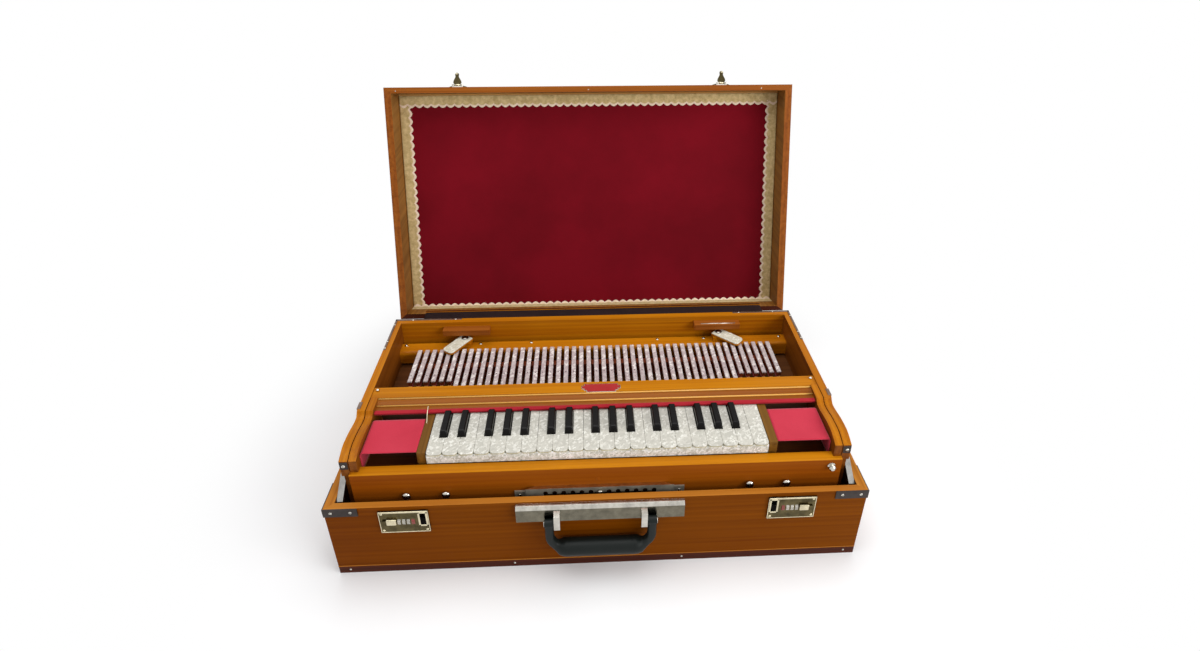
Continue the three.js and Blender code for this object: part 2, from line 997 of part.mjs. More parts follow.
// The raised seat and screw under one turn button
function turnSeatBlock(side) {
  const x = turnX(side);
  const half = turnSeatSize / 2;
  const seat = box(
    x - half,
    x + half,
    turnY - half,
    backWallFace + plateThickness,
    rearBarLevel - plateThickness,
    turnBottom - running,
  );
  const stud = rod(
    "z",
    x,
    turnY,
    turnStud,
    rearBarLevel,
    turnBottom + turnThickness,
    smallSides,
  );
  return seat.add(stud);
}

function latchKnob() {
  return turned(
    [
      [0, -plateThickness],
      [latchRadius, -plateThickness],
      [latchRadius, plateThickness],
      [latchRadius / 2, 2 * plateThickness],
      [latchRadius / 1.5, latchDepth / 2],
      [latchRadius / 1.2, latchDepth / 1.3],
      [latchRadius / 2, latchDepth],
      [0, latchDepth],
    ],
    boardInner - latchInset,
    panelFace,
    panelTop - latchDrop,
    smallSides,
  );
}

// Rear bar behind the levers, with its front top edge rounded over
function rearBar() {
  const back = rearBarFace + rearBarDepth;
  const outline = new THREE.Shape();
  outline.moveTo(back, rearBarLevel - rearBarHeight);
  outline.lineTo(back, rearBarLevel);
  outline.lineTo(rearBarFace + rearBarRound, rearBarLevel);
  outline.quadraticCurveTo(rearBarFace, rearBarLevel, rearBarFace, rearBarLevel - rearBarRound);
  outline.lineTo(rearBarFace, rearBarLevel - rearBarHeight);
  return sweep(outline, -boardInner, boardInner, "x");
}

function instrumentCase() {
  const floor = box(
    -boardInner,
    boardInner,
    panelBack,
    bodyBack,
    bodyBottom,
    bodyBottom + floorThickness,
  );
  const backWall = box(
    -boardInner,
    boardInner,
    backWallFace,
    bodyBack,
    bodyBottom,
    bodyTop,
  );
  const pieces = [floor, backWall, rearBar(), frontPanel(), decks(), topRail(), latchKnob()];
  for (const side of [-1, 1]) {
    pieces.push(...sideBoards(side), ledges(side), turnSeatBlock(side));
  }
  let shape = joined(pieces).add(scalePlateShape());
  for (const side of [-1, 1]) {
    for (const hole of boardBores(side)) shape = shape.subtract(hole);
  }
  for (const share of stopPlaceShares) {
    shape = shape.subtract(
      rod(
        "y",
        share * boardInner,
        panelTop - stopDrop,
        stopShank + running,
        panelFace - overrun,
        panelBack + overrun,
        smallSides,
      ),
    );
  }
  return shape;
}

// Folding arm of angle steel from its lower pin, along +Y, before it is raised. The lower pin turns
// in the case's wall and the upper one in the instrument's side board, and both are riveted over.
function foldingArm(side) {
  const eye = armWidth / 2;
  const outline = new THREE.Shape();
  outline.absarc(armLength, 0, eye, -Math.PI / 2, Math.PI / 2, false);
  outline.absarc(0, 0, eye, Math.PI / 2, 1.5 * Math.PI, false);
  const web = sweep(outline, ...outward(side, armInner, armOuter), "x");
  const flange = box(
    ...outward(side, bodyHalf + flangeGap, caseInner - flangeGap),
    -armPinRadius,
    armLength + armPinRadius,
    eye - flangeThickness / 2,
    eye + flangeThickness / 2,
  );
  const middle = (armInner + armOuter) / 2;
  const pieces = [web, flange];
  for (const [y, radius, near, far] of [
    [0, armPinRadius, middle, caseInner + armPinDepth],
    [0, pinHeadRadius, armInner - pinHeadThickness, middle],
    [armLength, armPinRadius, bodyHalf - armPinDepth, middle],
    [armLength, pinHeadRadius, middle, armOuter + pinHeadThickness],
  ]) {
    pieces.push(rod("x", y, 0, radius, ...outward(side, near, far), smallSides));
  }
  return joined(pieces);
}

// Key frame and keys

const blockFront = keyFront + keyBevel;

function keyFrame() {
  const bed = box(-blockOuter, blockOuter, deckFront, keyBack, bedBottom, bedTop);
  const pivotRail = box(
    -blockOuter,
    blockOuter,
    pivotPlace - pivotRailWidth / 2,
    pivotPlace + pivotRailWidth / 2,
    bedTop - plateThickness,
    whiteTop - keyBodyHeight - running,
  );
  const pieces = [bed, pivotRail];
  for (const side of [-1, 1]) {
    const x0 = side > 0 ? blockInner : -blockOuter;
    const x1 = side > 0 ? blockOuter : -blockInner;
    const outline = points([
      [deckFront, bedTop - plateThickness],
      [deckFront, panelTop + running],
      [blockFront, panelTop + running],
      [blockFront, whiteTop],
      [keyBack, whiteTop],
      [keyBack, bedTop - plateThickness],
    ]);
    pieces.push(sweep(outline, x0, x1, "x"));
  }
  return joined(pieces);
}

// Curtain of red cloth: from each end block out to the cheek, down it, and back under the keys
function sideCloth() {
  const front = deckFront + curtainInset;
  const top = whiteTop;
  const low = deckTop + running;
  const back = deckStep - curtainInset;
  const reach = cheekInner - running;
  const start = blockOuter + running;
  const t = curtainThickness;
  const outer = new THREE.Shape();
  outer.moveTo(start, top);
  outer.lineTo(reach - curtainBend, top);
  outer.quadraticCurveTo(reach, top, reach, top - curtainBend);
  outer.lineTo(reach, low + curtainBend);
  outer.quadraticCurveTo(reach, low, reach - curtainBend, low);
  outer.lineTo(-reach + curtainBend, low);
  outer.quadraticCurveTo(-reach, low, -reach, low + curtainBend);
  outer.lineTo(-reach, top - curtainBend);
  outer.quadraticCurveTo(-reach, top, -reach + curtainBend, top);
  outer.lineTo(-start, top);
  outer.lineTo(-start, top - t);
  outer.lineTo(-reach + curtainBend, top - t);
  outer.quadraticCurveTo(-reach + t, top - t, -reach + t, top - curtainBend);
  outer.lineTo(-reach + t, low + curtainBend);
  outer.quadraticCurveTo(-reach + t, low + t, -reach + curtainBend, low + t);
  outer.lineTo(reach - curtainBend, low + t);
  outer.quadraticCurveTo(reach - t, low + t, reach - t, low + curtainBend);
  outer.lineTo(reach - t, top - curtainBend);
  outer.quadraticCurveTo(reach - t, top - t, reach - curtainBend, top - t);
  outer.lineTo(start, top - t);
  return sweep(outer, front, back, "y");
}

// Edges of one white key at the front and between its black neighbours
function whiteEdges(index) {
  const octave = Math.floor(index / octaveWhites);
  const slot = octave * octaveSemitones + whiteSlots[index % octaveWhites];
  const isBlack = (n) => blackSlots.includes(((n % octaveSemitones) + octaveSemitones) % octaveSemitones);
  const left = index * whitePitch + keyGap / 2;
  const right = (index + 1) * whitePitch - keyGap / 2;
  const blackLeft = slot > 0 && isBlack(slot - 1);
  const blackRight = index < whiteCount - 1 && isBlack(slot + 1);
  return {
    left,
    right,
    tailLeft: blackLeft ? slot * semitone : left,
    tailRight: blackRight ? (slot + 1) * semitone : right,
  };
}

function whiteKey(index) {
  const { left, right, tailLeft, tailRight } = whiteEdges(index);
  const r = keyCornerRadius;
  const notch = blackTip - keyGap;
  const plan = new THREE.Shape();
  plan.moveTo(left + r, keyFront);
  plan.lineTo(right - r, keyFront);
  plan.quadraticCurveTo(right, keyFront, right, keyFront + r);
  plan.lineTo(right, notch);
  if (tailRight < right) plan.lineTo(tailRight, notch);
  plan.lineTo(tailRight, keyBack);
  plan.lineTo(tailLeft, keyBack);
  if (tailLeft > left) plan.lineTo(tailLeft, notch);
  plan.lineTo(left, notch);
  plan.lineTo(left, keyFront + r);
  plan.quadraticCurveTo(left, keyFront, left + r, keyFront);
  const low = whiteTop - keyBodyHeight;
  const side = points([
    [keyFront, panelTop],
    [keyFront, whiteTop - keyBevel],
    [keyFront + keyBevel, whiteTop],
    [keyBack, whiteTop],
    [keyBack, low],
    [keyFront + keyLip + keyFrontHeight - keyBodyHeight, low],
    [keyFront + keyLip, panelTop],
  ]);
  const blank = sweep(plan, panelTop - overrun, whiteTop + overrun, "z");
  const cut = sweep(side, left - overrun, right + overrun, "x");
  return blank.intersect(cut);
}

function blackKey(slot) {
  const centre = (slot + 1 / 2) * semitone;
  const low = whiteTop - keyBodyHeight;
  const top = whiteTop + blackRise;
  const shoulder = blackWidth / 4;
  const profile = points([
    [blackTip, low],
    [blackTip, whiteTop],
    [blackTip + blackNose, top],
    [feltLine - keyBevel, top],
    [feltLine - keyBevel, whiteTop],
    [keyBack, whiteTop],
    [keyBack, low],
  ]);
  const crown = points([
    [centre - blackWidth / 2, low - overrun],
    [centre + blackWidth / 2, low - overrun],
    [centre + blackWidth / 2, top - shoulder],
    [centre + blackWidth / 2 - shoulder / 2, top],
    [centre - blackWidth / 2 + shoulder / 2, top],
    [centre - blackWidth / 2, top - shoulder],
  ]);
  const stick = sweep(profile, centre - blackWidth / 2, centre + blackWidth / 2, "x");
  return stick.intersect(sweep(crown, blackTip - overrun, keyBack + overrun, "y"));
}

// Scale lever: a knob in front of the panel, its shank through the slot and a tongue behind
function scaleLever() {
  const face = panelFace - plateDepth;
  const knob = turned(
    [
      [0, running],
      [leverKnobRadius / 2, running],
      [leverKnobRadius, leverKnobDepth / 3],
      [leverKnobRadius, leverKnobDepth / 1.3],
      [leverKnobRadius / 1.4, leverKnobDepth],
      [0, leverKnobDepth],
    ],
    0,
    face,
    plateLevel,
  );
  const tongueY = panelBack + tongueGap;
  const shank = rod(
    "y",
    0,
    plateLevel,
    leverShank,
    face - leverKnobDepth / 2,
    tongueY + tongueThickness / 2,
    smallSides,
  );
  const tongue = box(
    -leverTongue / 2,
    leverTongue / 2,
    tongueY,
    tongueY + tongueThickness,
    plateLevel - leverKnobRadius,
    bedTop - tongueInset,
  );
  return joined([knob, shank, tongue]);
}

// Reed levers

// One lever with its bevelled ends and the pad that hangs under its front
function reedLever(centre, length) {
  const front = leverBack - length;
  const low = leverLevel - leverHeight;
  const padBack = front + padSetback + padLength;
  const profile = points([
    [front, low],
    [front, leverLevel - leverBevel],
    [front + leverBevel, leverLevel],
    [leverBack - leverBevel, leverLevel],
    [leverBack, leverLevel - leverBevel],
    [leverBack, low],
    [padBack, low],
    [padBack - plateThickness, low - padHeight],
    [front + padSetback, low - padHeight],
    [front + padSetback, low],
  ]);
  return sweep(profile, centre - leverWidth / 2, centre + leverWidth / 2, "x");
}

function leverBank() {
  const blackCount = Math.floor((whiteCount - 1) / octaveWhites) * blackSlots.length;
  const keyCount = whiteCount + blackCount;
  const leverCount = keyCount + 2 * shiftSteps;
  const half = ((leverCount - 1) * semitone) / 2;
  const battenBack = leverBack - battenPlaceShare * leverRoom;
  const pieces = [
    box(
      -half - leverWidth / 2,
      half + leverWidth / 2,
      battenBack - battenDepth,
      battenBack,
      soundBoardTop + running,
      leverLevel - leverHeight + plateThickness,
    ),
  ];
  for (let i = 0; i < leverCount; i += 1) {
    const short = i < shiftSteps || i >= leverCount - shiftSteps;
    const share = short ? leverShortShare : leverLongShare;
    pieces.push(reedLever(i * semitone - half, share * leverRoom));
  }
  return joined(pieces);
}

// Turn buttons and stop knobs

// A round-ended button about its screw, lying along -Y
function turnButton() {
  const half = turnWidth / 2;
  const front = turnPivotInset - turnLength;
  const outline = new THREE.Shape();
  outline.moveTo(half, turnPivotInset);
  outline.lineTo(-half, turnPivotInset);
  outline.lineTo(-half, front + half / 2);
  outline.quadraticCurveTo(-half, front, 0, front);
  outline.quadraticCurveTo(half, front, half, front + half / 2);
  const body = sweep(outline, 0, turnThickness, "z");
  return body.subtract(
    rod("z", 0, 0, turnStud + running, -overrun, turnThickness + overrun, smallSides),
  );
}

function stopKnob(x) {
  const z = panelTop - stopDrop;
  const knob = turned(
    [
      [0, -panelThickness / 1.5],
      [stopShank, -panelThickness / 1.5],
      [stopShank, running],
      [stopRadius / 1.5, running],
      [stopRadius, stopDepth / 3],
      [stopRadius, stopDepth / 1.5],
      [stopRadius / 1.6, stopDepth],
      [0, stopDepth],
    ],
    x,
    panelFace,
    z,
    smallSides,
  );
  return knob;
}

// Bellows

// A closed skin through rectangles of different reach, stacked along Y
function stackedRims(rims) {
  const corners = [];
  for (const rim of rims) {
    corners.push([-rim.half, rim.y, rim.low], [rim.half, rim.y, rim.low]);
    corners.push([rim.half, rim.y, rim.high], [-rim.half, rim.y, rim.high]);
  }
  const faces = [];
  for (let i = 0; i + 1 < rims.length; i += 1) {
    for (let k = 0; k < 4; k += 1) {
      const a = 4 * i + k;
      const b = 4 * i + ((k + 1) % 4);
      faces.push([a, a + 4, b], [b, a + 4, b + 4]);
    }
  }
  const last = 4 * (rims.length - 1);
  faces.push([0, 1, 2], [0, 2, 3]);
  faces.push([last, last + 2, last + 1], [last, last + 3, last + 2]);
  const geometry = new THREE.BufferGeometry();
  geometry.setAttribute("position", new THREE.Float32BufferAttribute(corners.flat(), 3));
  geometry.setIndex(faces.flat());
  return solid(geometry);
}

const bellowsHalf = boardInner - bellowsInset;

function bellowsFolds() {
  const rims = [];
  const low = bodyBottom + bellowsFoot;
  const high = bodyTop + bellowsRise;
  const start = bodyBack + running;
  const reach = (y, inset) => ({
    y,
    half: bellowsHalf - inset,
    low: low + inset,
    high: high - inset,
  });
  for (let i = 0; i < foldCount; i += 1) {
    const y = start + i * foldPitch;
    rims.push(reach(y, foldDepth), reach(y + foldPitch / 2 - foldRim / 2, 0));
    rims.push(reach(y + foldPitch / 2 + foldRim / 2, 0));
  }
  rims.push(reach(start + foldCount * foldPitch, foldDepth));
  return stackedRims(rims);
}

const boardFace = bodyBack + foldCount * foldPitch + 2 * running;

function bellowsBoardShape() {
  const low = bodyBottom + bellowsFoot;
  const high = bodyTop + bellowsRise;
  const back = boardFace + bellowsBoard;
  const profile = points([
    [boardFace, low],
    [boardFace, high],
    [back - plateThickness, high],
    [back, high - plateThickness],
    [back, low + plateThickness],
    [back - plateThickness, low],
  ]);
  return sweep(profile, -bellowsHalf, bellowsHalf, "x");
}

// Assembly

const harmonium = new THREE.Group();
node("tray_case", trayCase(), "wood", harmonium);

const handleGroup = new THREE.Group();
handleGroup.position.set(0, handlePivotY, handlePivotZ);
harmonium.add(handleGroup);
node("carry_handle", carryHandle(), "plastic", handleGroup);

const lidGroup = new THREE.Group();
lidGroup.position.set(0, hingeY, hingeZ);
lidGroup.rotation.x = -radians(lidOpenDegrees);
harmonium.add(lidGroup);
node("lid_case", lidCase(), "wood", lidGroup);
node("lid_lining", lidLining(), "cloth", lidGroup);
for (const [name, side] of [["hasp_left", -1], ["hasp_right", 1]]) {
  const haspGroup = new THREE.Group();
  haspGroup.position.set(side * haspOffset, haspPivotY, haspPivotZ);
  haspGroup.rotation.x = -radians(haspOpenDegrees);
  lidGroup.add(haspGroup);
  node(name, hasp(), "chrome", haspGroup);
}

for (const [sideName, side] of [["left", -1], ["right", 1]]) {
  ["front", "rear"].forEach((endName, i) => {
    const armGroup = new THREE.Group();
    armGroup.position.set(0, armPivots[i], pivotLevel);
    armGroup.rotation.x = radians(armDegrees);
    harmonium.add(armGroup);
    node(`arm_${endName}_${sideName}`, foldingArm(side), "chrome", armGroup);
  });
}

const instrument = new THREE.Group();
harmonium.add(instrument);
node("instrument_case", instrumentCase(), "wood", instrument);
node("lever_bank", leverBank(), "rosePearl", instrument);
node("bellows_folds", bellowsFolds(), "leather", instrument);
node("bellows_board", bellowsBoardShape(), "darkWood", instrument);
stopPlaceShares.forEach((share, i) => {
  node(`stop_knob_${i + 1}`, stopKnob(share * boardInner), "chrome", instrument);
});
for (const [sideName, side, degrees] of [["left", -1, leftTurnDegrees], ["right", 1, rightTurnDegrees]]) {
  const turnGroup = new THREE.Group();
  turnGroup.position.set(turnX(side), turnY, turnBottom);
  turnGroup.rotation.z = radians(side * degrees);
  instrument.add(turnGroup);
  node(`turn_button_${sideName}`, turnButton(), "pearl", turnGroup);
}

const keyboard = new THREE.Group();
instrument.add(keyboard);
node("key_frame", keyFrame(), "darkWood", keyboard);
node("side_cloth", sideCloth(), "redCloth", keyboard);
node("scale_lever", scaleLever(), "chrome", keyboard);

const keys = new THREE.Group();
keys.position.x = -keysHalf;
keyboard.add(keys);
const twoDigits = (n) => String(n).padStart(2, "0");
for (let i = 0; i < whiteCount; i += 1) {
  node(`key_white_${twoDigits(i + 1)}`, whiteKey(i), "pearl", keys);
}
let blackNumber = 0;
for (let octave = 0; octave < Math.floor(whiteCount / octaveWhites); octave += 1) {
  for (const slot of blackSlots) {
    blackNumber += 1;
    const place = octave * octaveSemitones + slot;
    node(`key_black_${twoDigits(blackNumber)}`, blackKey(place), "ebony", keys);
  }
}

export default harmonium;
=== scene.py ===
# Looks for the suitcase harmonium: materials, fittings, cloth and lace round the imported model.
# Lengths are in metres in the model's own frame. -Y is the player's side, +Z is up.
import json
import math

import bmesh
import bpy
from mathutils import Matrix, Vector

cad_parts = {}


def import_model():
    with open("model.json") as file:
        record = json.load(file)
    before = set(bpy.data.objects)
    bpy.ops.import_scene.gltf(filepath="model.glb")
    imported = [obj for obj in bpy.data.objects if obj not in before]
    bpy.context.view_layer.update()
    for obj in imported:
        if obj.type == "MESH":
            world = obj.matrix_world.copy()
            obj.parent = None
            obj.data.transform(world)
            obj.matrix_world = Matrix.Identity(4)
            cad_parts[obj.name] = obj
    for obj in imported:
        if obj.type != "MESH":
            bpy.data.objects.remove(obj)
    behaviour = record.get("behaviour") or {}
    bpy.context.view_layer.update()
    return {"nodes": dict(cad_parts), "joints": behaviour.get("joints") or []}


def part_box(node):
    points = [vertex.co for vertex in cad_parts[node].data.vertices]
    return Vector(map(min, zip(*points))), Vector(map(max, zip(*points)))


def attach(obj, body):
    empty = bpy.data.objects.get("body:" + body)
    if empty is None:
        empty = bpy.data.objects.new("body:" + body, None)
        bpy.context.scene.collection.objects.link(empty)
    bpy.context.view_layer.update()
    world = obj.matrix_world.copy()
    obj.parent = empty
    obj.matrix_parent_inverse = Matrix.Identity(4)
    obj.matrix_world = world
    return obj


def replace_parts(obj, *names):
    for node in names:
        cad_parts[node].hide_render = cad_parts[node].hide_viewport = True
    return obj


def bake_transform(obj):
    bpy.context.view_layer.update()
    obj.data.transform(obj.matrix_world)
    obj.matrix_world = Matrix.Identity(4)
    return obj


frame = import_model()
nodes = frame["nodes"]
joints = {j["name"]: j for j in frame["joints"]}

# The camera, fitted to the photograph

PHOTO_WIDTH, PHOTO_HEIGHT = 1200, 651
CAMERA_PLACE = Vector((-0.01173, -0.81121, 0.8249))
CAMERA_YAW, CAMERA_PITCH, CAMERA_ROLL = 0.0509, 0.4803, 0.0054
CAMERA_FOCAL_PX = 660.7
CAMERA_CENTRE_PX = (616.44, 236.06)
SENSOR = 36.0


def make_camera():
    data = bpy.data.cameras.new("camera")
    camera = bpy.data.objects.new("camera", data)
    bpy.context.scene.collection.objects.link(camera)
    bpy.context.scene.camera = camera
    data.sensor_fit = "HORIZONTAL"
    data.sensor_width = SENSOR
    data.lens = CAMERA_FOCAL_PX * SENSOR / PHOTO_WIDTH
    data.shift_x = (PHOTO_WIDTH / 2 - CAMERA_CENTRE_PX[0]) / PHOTO_WIDTH
    data.shift_y = (CAMERA_CENTRE_PX[1] - PHOTO_HEIGHT / 2) / PHOTO_WIDTH
    data.clip_start, data.clip_end = 0.02, 60
    level = math.cos(CAMERA_PITCH)
    forward = Vector((math.sin(CAMERA_YAW) * level, math.cos(CAMERA_YAW) * level, -math.sin(CAMERA_PITCH)))
    right = forward.cross(Vector((0, 0, 1))).normalized()
    up = right.cross(forward)
    c, s = math.cos(CAMERA_ROLL), math.sin(CAMERA_ROLL)
    turn = Matrix((right * c + up * s, up * c - right * s, -forward)).transposed().to_4x4()
    camera.matrix_world = Matrix.Translation(CAMERA_PLACE) @ turn


make_camera()

# Materials, kept in M by name

M = {}


def linear(r, g, b):
    """A colour given in 0 to 255 screen values, as linear light."""
    return tuple(
        (v / 255 / 12.92) if v / 255 <= 0.04045 else ((v / 255 + 0.055) / 1.055) ** 2.4
        for v in (r, g, b)
    ) + (1.0,)


def put(socket, value):
    """Links a socket to another node's output, or sets it to a plain value."""
    if isinstance(value, bpy.types.NodeSocket):
        value.id_data.links.new(value, socket)
    else:
        socket.default_value = value


def add_node(tree, kind, inputs=(), **settings):
    """A new node; inputs gives its sockets, by name or number, a value or a link."""
    node = tree.nodes.new(kind)
    for key, value in settings.items():
        setattr(node, key, value)
    for socket, value in dict(inputs).items():
        put(node.inputs[socket], value)
    return node


class Nodes:
    """A short way to write a material's node tree."""

    def __init__(self, name):
        self.material = M[name] = bpy.data.materials.new(name)
        self.material.use_nodes = True
        self.tree = self.material.node_tree
        self.shader = self.tree.nodes["Principled BSDF"]
        self.coords = self.add("ShaderNodeTexCoord").outputs["Object"]

    def add(self, kind, inputs=(), **settings):
        return add_node(self.tree, kind, inputs, **settings)

    def mapping(self, scale, move=(0, 0, 0)):
        inputs = {"Vector": self.coords, "Scale": scale, "Location": move}
        return self.add("ShaderNodeMapping", inputs).outputs["Vector"]

    def noise(self, vector, detail=3, rough=0.55, distortion=0.0):
        inputs = {"Vector": vector, "Scale": 1.0, "Detail": detail, "Roughness": rough}
        inputs["Distortion"] = distortion
        return self.add("ShaderNodeTexNoise", inputs).outputs["Fac"]

    def spots(self, scale, detail=3, rough=0.55, move=(0, 0, 0)):
        """Noise that is the same size along every axis."""
        return self.noise(self.mapping((scale, scale, scale), move), detail, rough)

    def ramp(self, value, stops):
        node = self.add("ShaderNodeValToRGB", {"Fac": value})
        elements = node.color_ramp.elements
        while len(elements) < len(stops):
            elements.new(0.5)
        for element, (place, colour) in zip(elements, stops):
            element.position = place
            element.color = colour
        return node.outputs["Color"]

    def mix(self, factor, a, b, kind="MIX"):
        inputs = {"Factor": factor, 6: a, 7: b}
        return self.add("ShaderNodeMix", inputs, data_type="RGBA", blend_type=kind).outputs[2]

    def shade(self, colour, amount, value, stops):
        """A colour made darker where a value is low."""
        return self.mix(amount, colour, self.ramp(value, stops), "MULTIPLY")

    def scaled(self, value, span, least):
        """The least value, plus a share of the span."""
        inputs = {0: value, 1: span, 2: least}
        return self.add("ShaderNodeMath", inputs, operation="MULTIPLY_ADD").outputs[0]

    def bump(self, height, strength, distance):
        inputs = {"Height": height, "Strength": strength, "Distance": distance}
        put(self.shader.inputs["Normal"], self.add("ShaderNodeBump", inputs).outputs["Normal"])

    def finish(self, colour, rough, **settings):
        put(self.shader.inputs["Base Color"], colour)
        put(self.shader.inputs["Roughness"], rough)
        for key, value in settings.items():
            self.shader.inputs[key.replace("_", " ")].default_value = value


def darker(colour, share):
    return tuple(v * share for v in colour[:3]) + (1.0,)


GREY = {v: (v / 100, v / 100, v / 100, 1.0) for v in (70, 80, 90, 100)}
VARNISH_DEEP = (0.84, 0.74, 0.66, 1.0)
GRAIN_ALONG, GRAIN_ACROSS, FIBRE = 1.6, 150.0, 4
FLAKE_BEND = (0.012, 0.012, 0.012)


def wood(name, light, dark, grain="x", move=0.0, gloss=0.34, coat=0.03, shine=0.08):
    """Varnished wood whose grain runs along one axis of the frame."""
    n = Nodes(name)
    light, dark = linear(*light), linear(*dark)
    scale = [GRAIN_ALONG if axis == grain else GRAIN_ACROSS for axis in "xyz"]
    place = n.mapping(scale, (move, move * 1.7, move * 0.6))
    broad = n.noise(place, 5, 0.6, 0.6)
    inputs = {"Vector": place, "Scale": 0.25, "Distortion": 6.0, "Detail": 3}
    across = {"x": "Z", "y": "X", "z": "Y"}[grain]
    rings = n.add("ShaderNodeTexWave", inputs, bands_direction=across).outputs["Fac"]
    fibre = n.noise(n.mapping([v * FIBRE for v in scale], (move, 0, move)), 3, 0.7)
    middle = [(a + b) / 2 for a, b in zip(light, dark)]
    colour = n.ramp(n.mix(0.14, broad, rings), [(0.25, dark), (0.5, middle), (0.76, light)])
    colour = n.shade(colour, 0.4, fibre, [(0.3, GREY[80]), (0.55, GREY[100])])
    cloud = n.spots(4.0, 3, 0.5, (move, move, 0))
    colour = n.shade(colour, 0.8, cloud, [(0.32, VARNISH_DEEP), (0.62, GREY[100])])
    rough = n.scaled(n.spots(9, move=(move, 0, 0)), 0.14, gloss - 0.04)
    n.bump(fibre, 0.08, 0.0003)
    n.finish(colour, rough, Coat_Weight=coat, Coat_Roughness=0.12, Specular_IOR_Level=shine)


def pearl(name, tones, flake=330.0, tint=GREY[90]):
    """Celluloid with pearly flakes of several tones."""
    n = Nodes(name)
    inputs = {0: n.spots(160, 3, 0.6), 1: FLAKE_BEND, 2: n.coords}
    bent = n.add("ShaderNodeVectorMath", inputs, operation="MULTIPLY_ADD").outputs[0]
    flakes = n.add("ShaderNodeTexVoronoi", {"Vector": bent, "Scale": flake}).outputs["Color"]
    grey = n.add("ShaderNodeRGBToBW", {0: flakes}).outputs[0]
    colour = n.ramp(grey, [(at, linear(*tone)) for at, tone in zip((0.22, 0.45, 0.66, 0.86), tones)])
    colour = n.shade(colour, 0.55, n.spots(75, 4, 0.6), [(0.36, tint), (0.6, GREY[100])])
    n.bump(grey, 0.05, 0.0002)
    n.finish(colour, n.scaled(grey, 0.2, 0.14), Coat_Weight=0.5, Coat_Roughness=0.08)


def metal(name, colour, rough=0.22, scratch=0.12, brushed="x", tarnish=0.72, mirror=1.0):
    """Plated or plain metal with brushed lines and cloudy tarnish."""
    n = Nodes(name)
    colour = linear(*colour)
    lines = n.noise(n.mapping([20 if axis == brushed else 700 for axis in "xyz"]), 3, 0.6)
    tone = n.ramp(n.spots(70, 5, 0.65), [(0.34, darker(colour, tarnish)), (0.62, colour)])
    n.bump(lines, 0.05, 0.0001)
    n.finish(tone, n.scaled(lines, scratch, rough - scratch / 3), Metallic=mirror)


def plastic(name, colour, rough, grain=900.0, depth=0.25, shine=0.3):
    """Moulded plastic, leather or paint with a fine skin."""
    n = Nodes(name)
    colour = linear(*colour)
    cloud = n.spots(30, 4, 0.6)
    tone = n.ramp(cloud, [(0.3, darker(colour, 0.75)), (0.7, colour)])
    n.bump(n.spots(grain, 2, 0.5), depth, 0.0001)
    n.finish(tone, n.scaled(cloud, 0.15, rough - 0.07), Specular_IOR_Level=shine)


def cloth(name, light, dark, thread=1500.0, fuzz=0.25, tint=(1, 1, 1, 1), patch=6.0):
    """Woven or napped cloth with threads, and patches of two tones."""
    n = Nodes(name)
    colour = n.ramp(n.spots(patch, 4, 0.6), [(0.34, linear(*dark)), (0.66, linear(*light))])
    pile = n.spots(thread, 2, 0.5)
    colour = n.shade(colour, 0.5, pile, [(0.3, GREY[70]), (0.7, GREY[100])])
    n.bump(pile, 0.35, 0.0003)
    sheen = {"Sheen_Weight": fuzz, "Sheen_Tint": tint, "Sheen_Roughness": 0.5}
    n.finish(colour, 0.92, **sheen, Specular_IOR_Level=0.1)


CASE_LIGHT, CASE_DARK = (130, 68, 2), (104, 50, 1)
# The case's own wood, made lighter for the top faces of the rims: painted light.
TOP_LIGHT, TOP_DARK = (196, 128, 46), (160, 96, 26)
BODY_LIGHT, BODY_DARK = (206, 132, 14), (158, 88, 6)
wood("case_x", CASE_LIGHT, CASE_DARK, "x", 0.0, coat=0.0, shine=0.02)
wood("case_y", CASE_LIGHT, CASE_DARK, "y", 3.1, coat=0.0, shine=0.02)
wood("rim_x", TOP_LIGHT, TOP_DARK, "x", 5.7)
wood("rim_y", TOP_LIGHT, TOP_DARK, "y", 7.9)
wood("lid_rim_x", (166, 98, 34), (132, 68, 16), "x", 61.0)
wood("lid_rim_y", (162, 94, 34), (118, 60, 16), "y", 67.0)
wood("body_x", BODY_LIGHT, BODY_DARK, "x", 11.3)
wood("body_y", BODY_LIGHT, BODY_DARK, "y", 13.1)
# The body's own wood, made darker for its front faces: painted shade.
wood("panel", (158, 84, 13), (134, 66, 8), "x", 17.7, coat=0.0, shine=0.03)
# The side boards' wood, made darker for their faces that do not look up: painted shade.
wood("cheek", (146, 84, 22), (100, 50, 10), "y", 41.0)
# Darker wood on the rail's front moulding: a painted reflection, for the dark strip its lacquer mirrors.
wood("rail_painted_reflection", (160, 92, 20), (122, 64, 8), "x", 43.0, coat=0.06)
# Pale glossy wood for rods along the rail's beads: a painted highlight, for the light the beads catch.
wood("bead", (244, 196, 108), (226, 168, 78), "x", 47.0, coat=0.3)
wood("block", (132, 92, 34), (88, 56, 18), "y", 53.0)
wood("dark", (84, 34, 14), (52, 18, 8), "x", 19.0, gloss=0.4)
wood("inside", (104, 62, 30), (72, 40, 18), "x", 23.0, gloss=0.55)
wood("lid_side", (170, 118, 54), (120, 78, 30), "y", 29.0, gloss=0.4)
wood("pale", (206, 160, 96), (166, 118, 62), "x", 31.0, gloss=0.45)
wood("lever_wood", (136, 66, 38), (92, 38, 20), "y", 37.0, gloss=0.4)
pearl("key_pearl", [(190, 187, 175), (198, 195, 183), (206, 203, 191), (230, 228, 218)])
